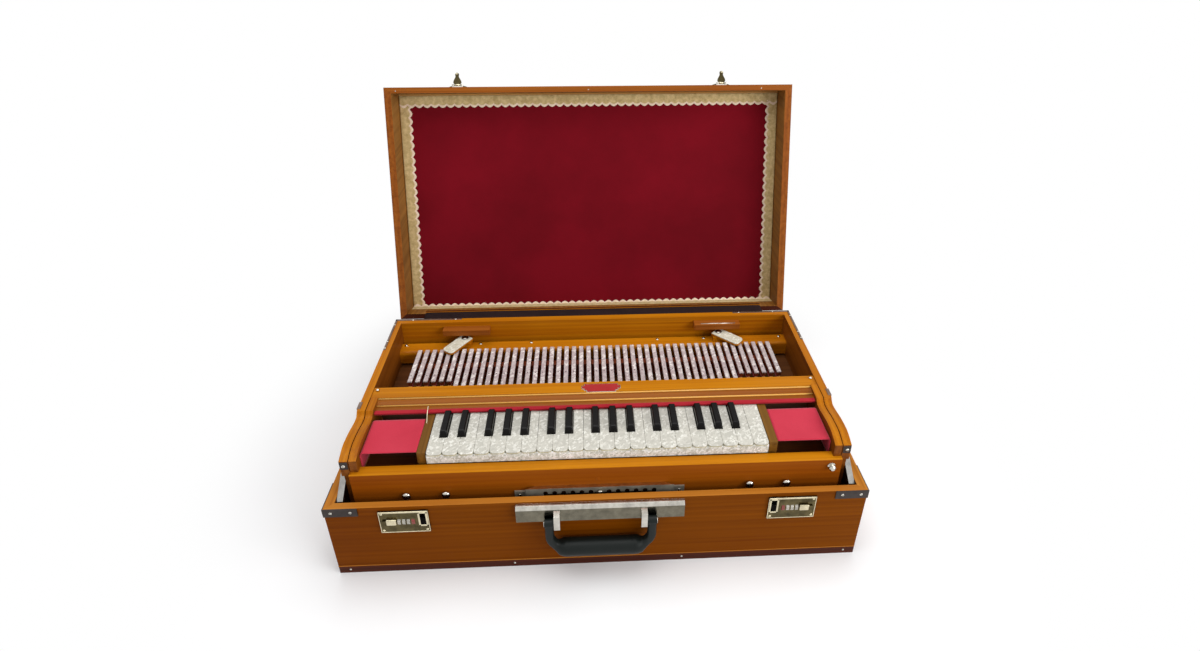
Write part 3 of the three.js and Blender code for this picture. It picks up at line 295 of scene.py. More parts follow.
# The keys' celluloid, made lighter for the faces that look forward: painted light.
pearl("key_front_lit", [(196, 200, 190), (222, 226, 218), (236, 240, 234), (254, 255, 254)], tint=GREY[80])
pearl("key_edge", [(182, 174, 126), (190, 182, 136), (198, 191, 148), (208, 202, 164)], tint=GREY[80])
pearl("lever_pearl", [(182, 166, 166), (192, 178, 177), (200, 188, 185), (238, 230, 225)], 230.0)
pearl("cream_pearl", [(200, 194, 172), (208, 203, 184), (214, 210, 193), (232, 229, 214)])
plastic("black", (7, 5, 5), 0.22, 600.0, 0.04, 0.16)
plastic("handle", (15, 21, 19), 0.45, 1100.0, 0.3, 0.2)
metal("nickel", (204, 200, 190), 0.16, 0.1)
metal("chrome", (120, 115, 100), 0.2, 0.12, tarnish=0.6)
metal("plate", (150, 144, 130), 0.45, 0.15, tarnish=0.6, mirror=0.35)
metal("brassy", (100, 90, 60), 0.18, 0.12, tarnish=0.42)
metal("bright", (222, 212, 180), 0.2, 0.1)
metal("steel", (160, 158, 154), 0.3, 0.15, "z")
metal("dull", (72, 66, 64), 0.42, 0.18)
metal("strap", (132, 112, 100), 0.35, 0.15)
cloth("velvet", (124, 10, 26), (106, 7, 20), 900.0, 0.02, (1, 0.5, 0.55, 1))
cloth("felt", (206, 56, 76), (190, 42, 62), 1700.0, 0.2, (1, 0.8, 0.85, 1))
cloth("lip", (182, 40, 52), (166, 30, 42), 1700.0, 0.1, (1, 0.8, 0.85, 1))
cloth("badge", (190, 66, 62), (168, 46, 48), 1700.0, 0.0)
cloth("lace", (226, 202, 148), (190, 164, 110), 1400.0, 0.15, patch=160.0)
cloth("lace_edge", (250, 228, 204), (238, 212, 184), 1400.0, 0.15, patch=160.0)
plastic("leather", (46, 32, 32), 0.7, 700.0, 0.3, 0.05)
# Near-black for holes, slots and notches: painted shade, for the dark inside them.
plastic("gap", (9, 7, 6), 0.8, 500.0, 0.1, 0.05)
plastic("red_wheel", (150, 66, 66), 0.3, 500.0, 0.05)

# Mesh helpers


def place_mesh(name, mesh, materials, body, matrix=None):
    """A piece from a mesh; materials holds the keys of its materials, with spaces between."""
    piece = bpy.data.objects.new(name, mesh)
    bpy.context.scene.collection.objects.link(piece)
    for material in materials.split():
        mesh.materials.append(M[material])
    if matrix is not None:
        mesh.transform(matrix)
    if body:
        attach(piece, body)
    return piece


def from_bmesh(name, bm, materials, body, matrix=None, smooth=True):
    bmesh.ops.recalc_face_normals(bm, faces=bm.faces)
    for face in bm.faces:
        face.smooth = smooth
    mesh = bpy.data.meshes.new(name)
    bm.to_mesh(mesh)
    bm.free()
    return place_mesh(name, mesh, materials, body, matrix)


def bridge(bm, rings, material=0):
    """A skin over rings of corners, closed at both ends."""
    faces = []
    for low, high in zip(rings, rings[1:]):
        for k in range(len(low)):
            m = (k + 1) % len(low)
            faces.append(bm.faces.new((low[k], low[m], high[m], high[k])))
    faces.append(bm.faces.new(list(reversed(rings[0]))))
    faces.append(bm.faces.new(rings[-1]))
    for face in faces:
        face.material_index = material


def weave(bm, grid):
    """Faces between the lines of a grid of corners, as one list for each pair of lines."""
    return [
        [bm.faces.new((a[j], b[j], b[j + 1], a[j + 1])) for j in range(len(a) - 1)]
        for a, b in zip(grid, grid[1:])
    ]


def soften(piece, width, segments=2, angle=35.0):
    """Rounded edges, with the large faces kept flat."""
    bevel = piece.modifiers.new("edges", "BEVEL")
    bevel.width = width
    bevel.segments = segments
    bevel.limit_method = "ANGLE"
    bevel.angle_limit = math.radians(angle)
    bevel.miter_outer = "MITER_ARC"
    flat = piece.modifiers.new("flat_faces", "WEIGHTED_NORMAL")
    flat.mode = "FACE_AREA"
    flat.weight = 90
    return piece


def blocks(name, boxes, material, body, matrix=None, bevel=0.0005):
    """Several bevelled blocks as one piece; each is (low corner, high corner)."""
    bm = bmesh.new()
    for low, high in boxes:
        corners = bmesh.ops.create_cube(bm, size=1)["verts"]
        for v in corners:
            for k in range(3):
                v.co[k] = low[k] if v.co[k] < 0 else high[k]
    piece = from_bmesh(name, bm, material, body, matrix)
    return soften(piece, bevel)


def lathe(bm, profile, centre, axis, sides=24):
    """A turned shape: profile pairs are (radius, distance along the axis)."""
    turn = Vector(axis).normalized().to_track_quat("Z", "Y").to_matrix()
    rings = []
    for radius, along in profile:
        angles = [2 * math.pi * k / sides for k in range(sides)]
        local = [Vector((radius * math.cos(a), radius * math.sin(a), along)) for a in angles]
        rings.append([bm.verts.new(Vector(centre) + turn @ v) for v in local])
    bridge(bm, rings)


def turned(name, profile, places, axis, material, body, matrix=None, sides=24):
    """The same turned shape at each of the places, as one piece."""
    bm = bmesh.new()
    for place in places:
        lathe(bm, profile, place, axis, sides)
    return from_bmesh(name, bm, material, body, matrix)


def screw_heads(
    name, body, places, axis, radius, height, slotted=True, material="nickel", matrix=None
):
    """Domed screw or rivet heads that stand on the given places."""
    steps = 5
    profile = [(radius, -radius * 0.1), (radius, height * 0.15)]
    for k in range(1, steps):
        a = math.pi / 2 * k / steps
        profile.append((radius * math.cos(a), height * (0.15 + 0.85 * math.sin(a))))
    profile.append((radius * 0.05, height))
    turned(name, profile, places, axis, material, body, matrix, 16)
    # Slotted heads get near-black bars of painted shade as their slots.
    if slotted:
        driver_slot_shades(name + "_slot_shades", body, places, axis, radius, height)


def driver_slot_shades(name, body, places, axis, radius, height):
    """Near-black bars across screw heads: painted shade that draws their driver slots."""
    axis = Vector(axis).normalized()
    side = axis.orthogonal().normalized()
    half, wide = radius * 0.75, radius * 0.11
    bm = bmesh.new()
    for k, place in enumerate(places):
        turn = Matrix.Rotation(0.7 + 1.9 * k, 3, axis)
        u, v = turn @ side, turn @ side.cross(axis)
        base = Vector(place) + axis * height * 1.04
        top = [base + u * a * half + v * b * wide for a, b in ((-1, -1), (1, -1), (1, 1), (-1, 1))]
        low = [c - axis * height * 0.5 for c in top]
        bridge(bm, [[bm.verts.new(c) for c in ring] for ring in (low, top)])
    from_bmesh(name, bm, "gap", body, smooth=False)


def slab(name, outline, low, high, materials, body, matrix=None, bevel=0.0005, segments=2):
    """An outline of (x, y) pairs, swept from one height to another."""
    bm = bmesh.new()
    bridge(bm, [[bm.verts.new((*pair, z)) for pair in outline] for z in (low, high)])
    return soften(from_bmesh(name, bm, materials, body, matrix), bevel, segments)


def arc(centre, radius, start, end, steps):
    """Points on an arc, angles in degrees."""
    out = []
    for k in range(steps + 1):
        a = math.radians(start + (end - start) * k / steps)
        out.append((centre[0] + radius * math.cos(a), centre[1] + radius * math.sin(a)))
    return out


def rounded_front(x0, x1, front, back, radius, steps):
    """An outline with rounded corners in front and square ones behind."""
    outline = [(x1, back), (x0, back)]
    outline += arc((x0 + radius, front + radius), radius, 180, 270, steps)
    return outline + arc((x1 - radius, front + radius), radius, 270, 360, steps)


def paint(name, rules, bevel=0.0006, segments=2, angle=35.0):
    """Gives a CAD node's faces the first material whose test passes, and softens its edges."""
    piece = nodes[name]
    mesh = piece.data
    mesh.materials.clear()
    for material, _ in rules:
        mesh.materials.append(M[material])
    for polygon in mesh.polygons:
        centre, normal = polygon.center, polygon.normal
        polygon.material_index = next(
            i for i, (_, test) in enumerate(rules) if test is None or test(centre, normal)
        )
        polygon.use_smooth = True
    weld = piece.modifiers.new("weld", "WELD")
    weld.merge_threshold = 0.00001
    soften(piece, bevel, segments, angle)


# Places of the case, the lid and the body: distances from the middle, and heights over the floor

body_low, body_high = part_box("instrument_case")
TRAY_HALF = 0.355
TRAY_FRONT, TRAY_BACK = -0.2075, 0.2075
RIM, BASE = 0.124, 0.013
WALL, END_WALL = 0.012, 0.0095
CORNER_TALL, CORNER_LEG, CORNER_THICK = 0.0135, 0.043, 0.0012
LOCK_CENTRE, LOCK_LEVEL = 0.25454, 0.0985
LOCK_HALF, LOCK_TALL, LOCK_PROUD = 0.032, 0.019, 0.0022
STAPLE_HOLE, HOLE_LOW, HOLE_HIGH = 0.23004, 0.1049, 0.1159
HOLE_INNER, HOLE_OUTER, SLOT_LOW = 0.0036, 0.0062, 0.0905
FIRST_DIAL, DIAL_PITCH = 0.24304, 0.006
BAR_FACE, BAR_REACH, HINGE_REACH = -0.2155, 0.112, 0.3
BODY_TOP, BODY_BOTTOM = body_high.z, body_low.z
PANEL_FACE = -0.185
PANEL_TOP = BODY_BOTTOM + 0.092
PLATE_REACH, NOTCH_REACH, KNOB_START = 0.12, 0.09, 0.29
PLATE_LOW, PLATE_HIGH = 0.1095, 0.1272
BOARD_OUTER, BOARD_INNER = 0.334, 0.323
BOARD_FRONT, SHOULDER = -0.1795, -0.0955
CHEEK_INNER = 0.312
BODY_BACK, BACK_WALL = 0.1245, 0.1135
RAIL_FRONT, COVE_BACK = -0.09, -0.0685
RAIL_TOP = BODY_TOP - 0.0015
KEY_TOP = PANEL_TOP + 0.018
RAIL_BOTTOM = KEY_TOP + 0.0008
SOUND_BOARD = BODY_BOTTOM + 0.058
REAR_BAR_SCREW_LINE, REAR_BAR_TOP = 0.1, SOUND_BOARD + 0.026
FELT_LINE = -0.0965
LEDGE_LOW, LEDGE_HIGH, LEDGE_FRONT = 0.167, 0.178, 0.099
LEDGE_START, LEDGE_END = 0.16, 0.26
SIDES = ((-1, "left"), (1, "right"))

lid_hinge = joints["lid_hinge"]
LID = Matrix.Translation(Vector(lid_hinge["pos_m"])) @ Matrix.Rotation(
    -math.radians(lid_hinge["range_deg"][1]), 4, "X"
)
LID_INVERSE = LID.inverted()
LID_FRONT, LID_BACK = -0.4182, -0.0032


def centred(x, half, low, high):
    """A block centred on x; low and high are its (y, z) corners."""
    return (x - half, *low), (x + half, *high)


def beside(side, inner, outer, low, high):
    """A block between two distances from the middle, on one side; low and high are (y, z)."""
    a, b = sorted((side * inner, side * outer))
    return (a, *low), (b, *high)


# The case and its locks


def is_lock(c, n):
    return c.y < TRAY_FRONT - 0.0001 and abs(abs(c.x) - LOCK_CENTRE) < LOCK_HALF + 0.001


def is_bar(c, n):
    return c.y < TRAY_FRONT - 0.0001 and abs(c.x) < BAR_REACH


def is_corner(c, n):
    out = abs(c.x) > TRAY_HALF + 0.00005 or abs(c.y) > TRAY_BACK + 0.00005
    return out and c.z > RIM - CORNER_TALL - 0.001 and abs(c.x) > TRAY_HALF - CORNER_LEG - 0.001


def is_staple_hole(c, n):
    near = abs(abs(c.x) - STAPLE_HOLE) < 0.0065 and HOLE_LOW - 0.001 < c.z < HOLE_HIGH + 0.001
    return near and c.y < TRAY_FRONT + 0.012 and (abs(n.y) < 0.5 or c.y > TRAY_FRONT - LOCK_PROUD + 0.0003)


def is_hinge(c, n):
    return c.y > TRAY_BACK + 0.00005 and abs(c.x) < HINGE_REACH


def is_base(c, n):
    return c.z < BASE - 0.0001 and abs(n.z) < 0.9 and (abs(c.y) > 0.2 or abs(c.x) > 0.35)


def is_tray_inside(c, n):
    return abs(c.x) < TRAY_HALF - WALL + 0.0004 and abs(c.y) < TRAY_BACK - END_WALL + 0.0004


paint(
    "tray_case",
    [
        # Faces inside the staple holes are near-black: painted shade.
        ("gap", is_staple_hole),
        ("brassy", is_lock),
        # Top-facing faces of the handle bar get the lighter nickel: a painted highlight on its upper bevel.
        ("nickel", lambda c, n: is_bar(c, n) and (c.y < BAR_FACE - 0.0005 or n.z > 0.3)),
        ("chrome", is_bar),
        ("dull", is_corner),
        ("steel", is_hinge),
        ("dark", is_base),
        ("inside", is_tray_inside),
        # Upward faces of the rims get the lighter top wood: painted light.
        ("rim_x", lambda c, n: n.z > 0.9 and abs(c.y) > TRAY_BACK - END_WALL),
        ("rim_y", lambda c, n: n.z > 0.9),
        ("case_y", lambda c, n: abs(n.x) > 0.7),
        ("case_x", None),
    ],
    0.0007,
)


def lock_details():
    """Rivets, rolled rims, ribbed number wheels, slide buttons and staple slot frames on both locks, with
    near-black blocks of painted shade that draw the slots.
    """
    face = TRAY_FRONT - LOCK_PROUD
    places, rims, buttons, frames, slots = [], [], [], [], []
    wheels, tinted = bmesh.new(), bmesh.new()
    inset, rim, deep, bar = 0.004, 0.0013, 0.0007, 0.0011
    low, high = LOCK_LEVEL - LOCK_TALL, LOCK_LEVEL + LOCK_TALL
    for side in (-1, 1):
        middle = side * LOCK_CENTRE
        for a in (-1, 1):
            for b in (-1, 1) if side * a > 0 else (-1,):
                places.append((middle + a * (LOCK_HALF - inset), face, LOCK_LEVEL + b * (LOCK_TALL - inset)))
        front, back = face - deep, face + deep
        rims.append(centred(middle, LOCK_HALF, (front, high - 2 * rim), (back, high)))
        rims.append(centred(middle, LOCK_HALF, (front, low), (back, low + rim)))
        for a in (-1, 1):
            rims.append(centred(middle + a * (LOCK_HALF - rim / 2), rim / 2, (front, low), (back, high)))
        for k in range(4):
            x = side * (FIRST_DIAL + DIAL_PITCH * k)
            add_wheel(wheels if k else tinted, (x, face + 0.0055, LOCK_LEVEL), 0.0073, 0.0041)
        x, z = side * (LOCK_CENTRE + 0.0162), LOCK_LEVEL + 0.0018
        buttons.append(centred(x, 0.0064, (face - 0.0034, z - 0.0048), (face, z + 0.0048)))
        x = side * STAPLE_HOLE
        front, back = face - bar, face + 0.0003
        # Near-black blocks on the face below each staple hole: painted shade that draws the rest of the slot.
        slots.append(centred(x, HOLE_INNER, (face - 0.0003, SLOT_LOW + 0.001), (back, HOLE_LOW + 0.0002)))
        half = (HOLE_OUTER - HOLE_INNER) / 2
        for a in (-1, 1):
            frames.append(centred(x + a * (HOLE_INNER + half), half, (front, SLOT_LOW), (back, HOLE_HIGH)))
        for z0, z1 in ((SLOT_LOW, SLOT_LOW + 0.0026), (HOLE_HIGH - 0.0022, HOLE_HIGH)):
            frames.append(centred(x, HOLE_OUTER, (front, z0), (back, z1)))
    screw_heads("lock_rivets", "case", places, (0, -1, 0), 0.0019, 0.001045, False, "bright")
    blocks("lock_rims", rims, "bright", "case", bevel=0.0005)
    soften(from_bmesh("lock_number_wheels", wheels, "nickel", "case", smooth=False), 0.0002)
    soften(from_bmesh("lock_first_wheels", tinted, "red_wheel", "case", smooth=False), 0.0002)
    blocks("lock_slide_buttons", buttons, "bright", "case", bevel=0.0012)
    blocks("lock_slot_frames", frames, "bright", "case", bevel=0.0004)
    blocks("lock_slot_shades", slots, "gap", "case", bevel=0.0001)


def add_wheel(bm, centre, radius, wide, teeth=20):
    """A wheel with finger ribs, on an axle along X."""
    x, y, z = centre
    rings = []
    for end in (x - wide / 2, x + wide / 2):
        ring = []
        for k in range(2 * teeth):
            a = math.pi * (k + 0.5) / teeth
            r = radius if k % 2 else radius - 0.0005
            ring.append(bm.verts.new((end, y + r * math.cos(a), z + r * math.sin(a))))
        rings.append(ring)
    bridge(bm, rings)


lock_details()


def on_wall(axis, along, away, level):
    """A place on the wall that faces along axis, away from the middle."""
    ax, ay, _ = axis
    return ax * away + abs(ay) * along, ay * away + abs(ax) * along, level


def case_trim():
    """Slotted heads in the corner plates, and a light bead and nails along the dark base."""
    thick, proud = 0.0011, 0.0003
    x, y, top = TRAY_HALF + proud, TRAY_BACK + proud, BASE + thick
    boxes = [((-x, -y, BASE), (x, thick - TRAY_BACK, top)), ((-x, TRAY_BACK - thick, BASE), (x, y, top))]
    for side in (-1, 1):
        boxes.append(beside(side, TRAY_HALF - thick, x, (-TRAY_BACK, BASE), (TRAY_BACK, top)))
    # The bead takes the rims' lighter top wood, so its pale line is partly painted light.
    blocks("base_bead", boxes, "rim_x", "case", bevel=0.0003)
    end_nails, side_nails = (-0.34, -0.118, 0.112, 0.34), (-0.19, 0.0, 0.19)
    for word, axis, half, out, nails in (
        ("front", (0, -1, 0), TRAY_HALF, TRAY_BACK, end_nails),
        ("back", (0, 1, 0), TRAY_HALF, TRAY_BACK, end_nails),
        ("left", (-1, 0, 0), TRAY_BACK, TRAY_HALF, side_nails),
        ("right", (1, 0, 0), TRAY_BACK, TRAY_HALF, side_nails),
    ):
        level = RIM - CORNER_TALL / 2
        reach = [end * (half - inset) for end in (-1, 1) for inset in (0.009, 0.034)]
        places = [on_wall(axis, along, out + CORNER_THICK, level) for along in reach]
        screw_heads(f"corner_rivets_{word}", "case", places, axis, 0.0021, 0.0008)
        places = [on_wall(axis, along, out, BASE * 0.5) for along in nails]
        screw_heads(f"base_nails_{word}", "case", places, axis, 0.0016, 0.0007, False)


case_trim()

# The carry handle


def handle_shape():
    """A moulded loop: square-shouldered arms that flow into a thick rounded grip."""
    half, drop, corner = 0.067, 0.046, 0.024
    arm, grip_radius = 0.0058, 0.0118
    reach = half - corner
    path = [(-half, 0.0), (-half, -0.012)] + arc((-reach, corner - drop), corner, 180, 270, 8)
    path += [(reach * (k / 7 - 1), -drop) for k in range(1, 14)]
    path += arc((reach, corner - drop), corner, 270, 360, 8) + [(half, -0.012), (half, 0.0)]
    bm = bmesh.new()
    rings = []
    sides = 20
    for i, (x, z) in enumerate(path):
        before, after = path[max(i - 1, 0)], path[min(i + 1, len(path) - 1)]
        tangent = Vector((after[0] - before[0], 0, after[1] - before[1])).normalized()
        normal = Vector((0, 1, 0)).cross(tangent)
        middle = max(0.0, 1 - abs(x) / (half - corner * 0.4))
        swell = 1 - (1 - min(1.0, middle * 5.0)) ** 3
        thick = arm + (grip_radius - arm) * swell
        power = 0.62 + 0.34 * swell
        ring = []
        for k in range(sides):
            a = 2 * math.pi * k / sides
            u, v = (math.copysign(abs(f) ** power, f) * thick for f in (math.cos(a), math.sin(a)))
            ring.append(bm.verts.new(Vector((x, v, z)) + normal * u))
        rings.append(ring)
    bridge(bm, rings)
    for side in (-1, 1):
        lathe(bm, [(arm, -0.006), (arm, 0.006)], (side * half, 0, 0), (1, 0, 0))
    move = Matrix.Translation(Vector(joints["handle_swing"]["pos_m"]))
    piece = from_bmesh("handle_loop", bm, "handle", "handle", move)
    soften(piece, 0.0006, 2, 50)
    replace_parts(piece, "carry_handle")
    groove = [(grip_radius - 0.0006, -0.0008), (grip_radius + 0.0007, 0.0), (grip_radius - 0.0006, 0.0008)]
    head = [(0.0042, 0), (0.0042, 0.0006), (0.002, 0.0012), (0.0003, 0.0013)]
    places = [(side * at, 0, -drop) for side in (-1, 1) for at in (0.041, 0.0445)]
    turned("handle_grip_rings", groove, places, (1, 0, 0), "handle", "handle", move, 32)
    pins = bmesh.new()
    for side in (-1, 1):
        lathe(pins, head, (side * (half + 0.0061), 0, 0), (side, 0, 0), 20)
    from_bmesh("handle_pin_heads", pins, "nickel", "case", move)


handle_shape()

# The lid, its cloth and its lace


def in_lid(test):
    """A face test in the shut lid's own coordinates."""
    return lambda c, n: test(LID_INVERSE @ c, LID_INVERSE.to_3x3() @ n)


def is_lid_rim(c, n):
    return n.z < -0.9 and c.z < 0.001


def is_lid_inside(c, n):
    return abs(c.x) < INNER_HALF + 0.001 and INNER_FRONT - 0.001 < c.y < INNER_BACK + 0.001


LINING = 0.0479
INNER_HALF = 0.343
FRONT_WALL, BACK_BOARD = 0.01, 0.009
INNER_FRONT, INNER_BACK = LID_FRONT + FRONT_WALL, LID_BACK - BACK_BOARD
LACE_WIDE, TOOTH, TOOTH_DEEP = 0.0215, 0.014, 0.0042
TOP_BORDER, SIDE_BORDER, FOOT_BORDER = 0.0037, 0.0008, 0.0004
FOOT_LACE = 0.0048
FOOT_FOLD = LACE_WIDE - FOOT_LACE
EDGE_BAND = 0.0052

paint(
    "lid_case",
    [
        ("steel", in_lid(lambda c, n: c.y > LID_BACK + 0.0001)),
        ("nickel", in_lid(lambda c, n: c.y < LID_FRONT - 0.0001)),
        ("dark", in_lid(lambda c, n: is_lid_rim(c, n) and c.y > INNER_BACK)),
        ("lid_rim_x", in_lid(lambda c, n: is_lid_rim(c, n) and c.y < INNER_FRONT)),
        ("lid_rim_y", in_lid(is_lid_rim)),
        ("case_x", in_lid(lambda c, n: c.z > LINING + 0.002)),
        ("lid_side", in_lid(is_lid_inside)),
        ("case_y", in_lid(lambda c, n: abs(n.x) > 0.7)),
        ("case_x", None),
    ],
    0.0007,
)


def lid_edges():
    """The corners of the cloth and lace, inside the lid's walls."""
    x = INNER_HALF - SIDE_BORDER
    return -x, x, INNER_FRONT + TOP_BORDER, INNER_BACK - FOOT_BORDER


def lid_cloth():
    """The stretched cloth over the lid's board, with the faint pull of its edges."""
    x0, x1, y0, y1 = lid_edges()
    across, up = 120, 66
    bm = bmesh.new()
    grid = []
    for i in range(across + 1):
        line = []
        for j in range(up + 1):
            u, v = i / across, j / up
            edge = min(u, 1 - u, (v * up) / across * 1.6, (1 - v) * up / across * 1.6)
            free = min(1.0, edge / 0.1)
            wave_u = math.sin(u * 23.0 + 1.7 * math.sin(v * 6.1))
            wave_v = math.sin(v * 9.0 + 0.8 * math.sin(u * 7.0))
            z = LINING - 0.0002 - 0.0004 * free * (0.5 + 0.5 * wave_u * wave_v)
            line.append(bm.verts.new((x0 + (x1 - x0) * u, y0 + (y1 - y0) * v, z)))
        grid.append(line)
    weave(bm, grid)
    piece = from_bmesh("lid_cloth", bm, "velvet", "lid", LID)
    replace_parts(piece, "lid_lining")


def lace_strip(bm, start, end, inward, wide, fold=0.0):
    """One side of the lace, toothed along its inner edge; fold is what lies down a wall beside it."""
    start, end, inward = Vector(start), Vector(end), Vector(inward)
    teeth = max(1, round((end - start).length / TOOTH))
    along = (end - start) / teeth
    columns, rows = 8, 10
    grid = []
    for i in range(teeth * columns + 1):
        t = i / columns
        wave = abs((t % 1) - 0.5) * 2
        reach = fold + wide - TOOTH_DEEP * wave**1.7
        lift = 0.0003 * math.sin(t * 2 * math.pi)
        row = []
        for j in range(rows + 1):
            far = reach * j / rows - fold
            point = start + along * t + inward * max(0.0, far)
            point.z += min(0.0, far) - 0.0004 - lift * j / rows
            row.append(bm.verts.new(point))
        grid.append(row)
    for strip in weave(bm, grid):
        for j, face in enumerate(strip):
            across = ((j + 0.5) / rows * (wide + fold) - fold) / wide
            face.material_index = 1 if across > 1 - EDGE_BAND / wide else 0


def lid_lace():
    """Lace tacked round the cloth; at the lid's foot most of it lies on the back wall."""
    x0, x1, y0, y1 = lid_edges()
    z = LINING - 0.0012
    bm = bmesh.new()
    lace_strip(bm, (x0, y0, z), (x1, y0, z), (0, 1, 0), LACE_WIDE)
    lace_strip(bm, (x0, y1, z), (x1, y1, z), (0, -1, 0), FOOT_LACE, FOOT_FOLD)
    tuck = y0 + LACE_WIDE - TOOTH_DEEP - TOOTH / 2
    lace_strip(bm, (x0, tuck, z + 0.0004), (x0, y1, z + 0.0004), (1, 0, 0), LACE_WIDE)
    lace_strip(bm, (x1, tuck, z + 0.0004), (x1, y1, z + 0.0004), (-1, 0, 0), LACE_WIDE)
    piece = from_bmesh("lid_lace", bm, "lace lace_edge", "lid", LID)
    solid = piece.modifiers.new("thread", "SOLIDIFY")
    solid.thickness = 0.0005
    solid.offset = 0


def lid_moulding():
    """The thin golden fillet between the lid's front wall and the lace."""
    x = INNER_HALF
    low, high = (-x, INNER_FRONT, LINING - 0.0025), (x, INNER_FRONT + TOP_BORDER, LINING + 0.001)
    blocks("lid_moulding", [(low, high)], "pale", "lid", LID, 0.0009)


lid_cloth()
lid_lace()
lid_moulding()


def hasps():
    """Tapered flaps with a rolled eye, a round thumb tab and a staple, and their horned leaves."""
    leaf_half, leaf_high, leaf_thick = 0.0165, 0.0034, 0.0012
    edge = [(0.0042, 0.0), (0.0072, 0.004), (0.0064, 0.0074), (0.003, 0.0138)]
    outline = [(-0.0042, 0.0)] + edge + arc((0, 0.0175), 0.0034, -25, 205, 12)
    outline += [(-x, y) for x, y in edge[:0:-1]]
    staple = [((-0.0018, 0.0172, -0.0004), (0.0018, 0.0194, 0.0044))]
    eye = [(0.0019, -0.0042), (0.0019, 0.0042)]
    arch = [(leaf_half * k / 8, leaf_high * (1 - (k / 8) ** 2)) for k in range(-8, 9)]
    arch += [(x * 0.93, max(0.0, h - leaf_thick)) for x, h in reversed(arch)]
    for side, word in SIDES:
        node = f"hasp_{word}"
        hinge = joints[f"{node}_hinge"]
        opened = lid_hinge["range_deg"][1] + hinge["range_deg"][1]
        along = Matrix.Rotation(-math.radians(opened), 3, "X") @ Vector((0, 0, -1))
        across = Vector((1, 0, 0))
        turn = Matrix((across, along, across.cross(along))).transposed().to_4x4()
        place = Matrix.Translation(Vector(hinge["pos_m"])) @ turn
        flap = slab(f"hasp_flap_{word}", outline, -0.0016, 0.0, "brassy", node, place, 0.0004)
        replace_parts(flap, node)
        blocks(f"hasp_staple_{word}", staple, "bright", node, place, 0.0004)
        turned(f"hasp_eye_{word}", eye, [(0, 0, 0)], (1, 0, 0), "bright", node, place, 20)
        leaf = [(side * STAPLE_HOLE + x, LID_FRONT - h) for x, h in arch]
        slab(f"hasp_leaf_{word}", leaf, 0.0105, 0.015, "brassy", "lid", LID, 0.0003)


hasps()
nails = [(x, LID_FRONT + 0.006, 0.0004) for x in (-0.335, -0.004, 0.3)]
screw_heads("lid_rim_nails", "lid", nails, (0, 0, -1), 0.0014, 0.00026, False, matrix=LID)

# The instrument's body


def is_plate(c, n):
    return c.y < PANEL_FACE - 0.0001 and abs(c.x) < PLATE_REACH


def is_notch(c, n):
    return is_plate(c, n) and n.y > -0.9 and PLATE_LOW < c.z < PLATE_HIGH and abs(c.x) < NOTCH_REACH


def is_knob(c, n):
    return c.y < PANEL_FACE - 0.0001 and c.x > KNOB_START


def is_ledge(c, n):
    level = LEDGE_LOW < c.z < LEDGE_HIGH and LEDGE_START < abs(c.x) < LEDGE_END
    return level and LEDGE_FRONT < c.y < BACK_WALL - 0.0003


def is_cove(c, n):
    """The moulding of the top rail, in front of its flat top."""
    within = RAIL_FRONT - 0.001 < c.y < COVE_BACK and abs(c.x) < CHEEK_INNER
    return within and c.z > KEY_TOP and n.z > 0.1


paint(
    "instrument_case",
    [
        # Faces inside the scale plate's notches are near-black: painted shade.
        ("gap", is_notch),
        # The scale plate's top-facing upper edge gets bright metal: a painted highlight.
        ("bright", lambda c, n: is_plate(c, n) and n.z > 0.3 and c.z > PLATE_HIGH - 0.002),
        ("plate", is_plate),
        ("nickel", is_knob),
        ("lid_rim_x", is_ledge),
        # The rail's front moulding gets darker wood: a painted reflection.
        ("rail_painted_reflection", is_cove),
        ("inside", lambda c, n: n.z > 0.5 and c.z < PANEL_TOP - 0.012 and abs(c.x) < BOARD_INNER),
        # Front faces of the body get the darker panel wood: painted shade.
        ("panel", lambda c, n: n.y < -0.9 and c.y < PANEL_FACE + 0.001),
        # Faces of the side boards that look up get the lighter wood, the rest the darker cheek wood: painted
        # shade.
        ("body_y", lambda c, n: abs(c.x) > CHEEK_INNER - 0.0001 and n.z > 0.3),
        ("cheek", lambda c, n: abs(c.x) > CHEEK_INNER - 0.0001),
        ("body_x", None),
    ],
    0.0006,
)


def badge():
    """The bare badge plate on the top rail: red enamel with stepped ends in a pale rim."""
    x, y = 0.0054, -0.06
    half, deep, step = 0.0285, 0.009, 0.0035
    for name, material, inset, low, high in (
        ("badge_rim", "nickel", 0.0, -0.0002, 0.0006),
        ("badge_field", "badge", 0.0011, 0.0, 0.0009),
    ):
        w, d = half - inset, deep - inset
        right = [(w - 2 * step, -d), (w - 2 * step, step - d), (w - step, step - d), (w - step, 2 * step - d)]
        right += [(w, 2 * step - d), (w, d - step), (w - step, d - step), (w - step, d)]
        outline = [(x + a, y + b) for a, b in right + [(-a, b) for a, b in reversed(right)]]
        low, high = RAIL_TOP + low, RAIL_TOP + high
        slab(name, outline, low, high, material, "instrument", bevel=0.0002)


def rail_trim():
    """The red felt lip under the rail's front edge, pale rods along the rail's beads as painted highlights,
    and the studs at its ends.
    """
    low = RAIL_BOTTOM + 0.0002
    x = CHEEK_INNER - 0.0005
    lip = centred(0, x, (FELT_LINE + 0.0002, low), (RAIL_FRONT + 0.0004, low + 0.0034))
    blocks("rail_felt", [lip], "lip", "instrument", bevel=0.0008)
    # Pale rods on the rail's two beads: painted highlights.
    bead, places = [(0.0011, 0), (0.0011, 2 * x)], [(-x, -0.07, 0.1834), (-x, -0.081, 0.18)]
    turned("rail_bead_highlights", bead, places, (1, 0, 0), "bead", "instrument", sides=12)
    places = [(side * 0.317, -0.052, BODY_TOP) for side in (-1, 1)]
    screw_heads("rail_studs", "instrument", places, (0, 0, 1), 0.0024, 0.0012, False)


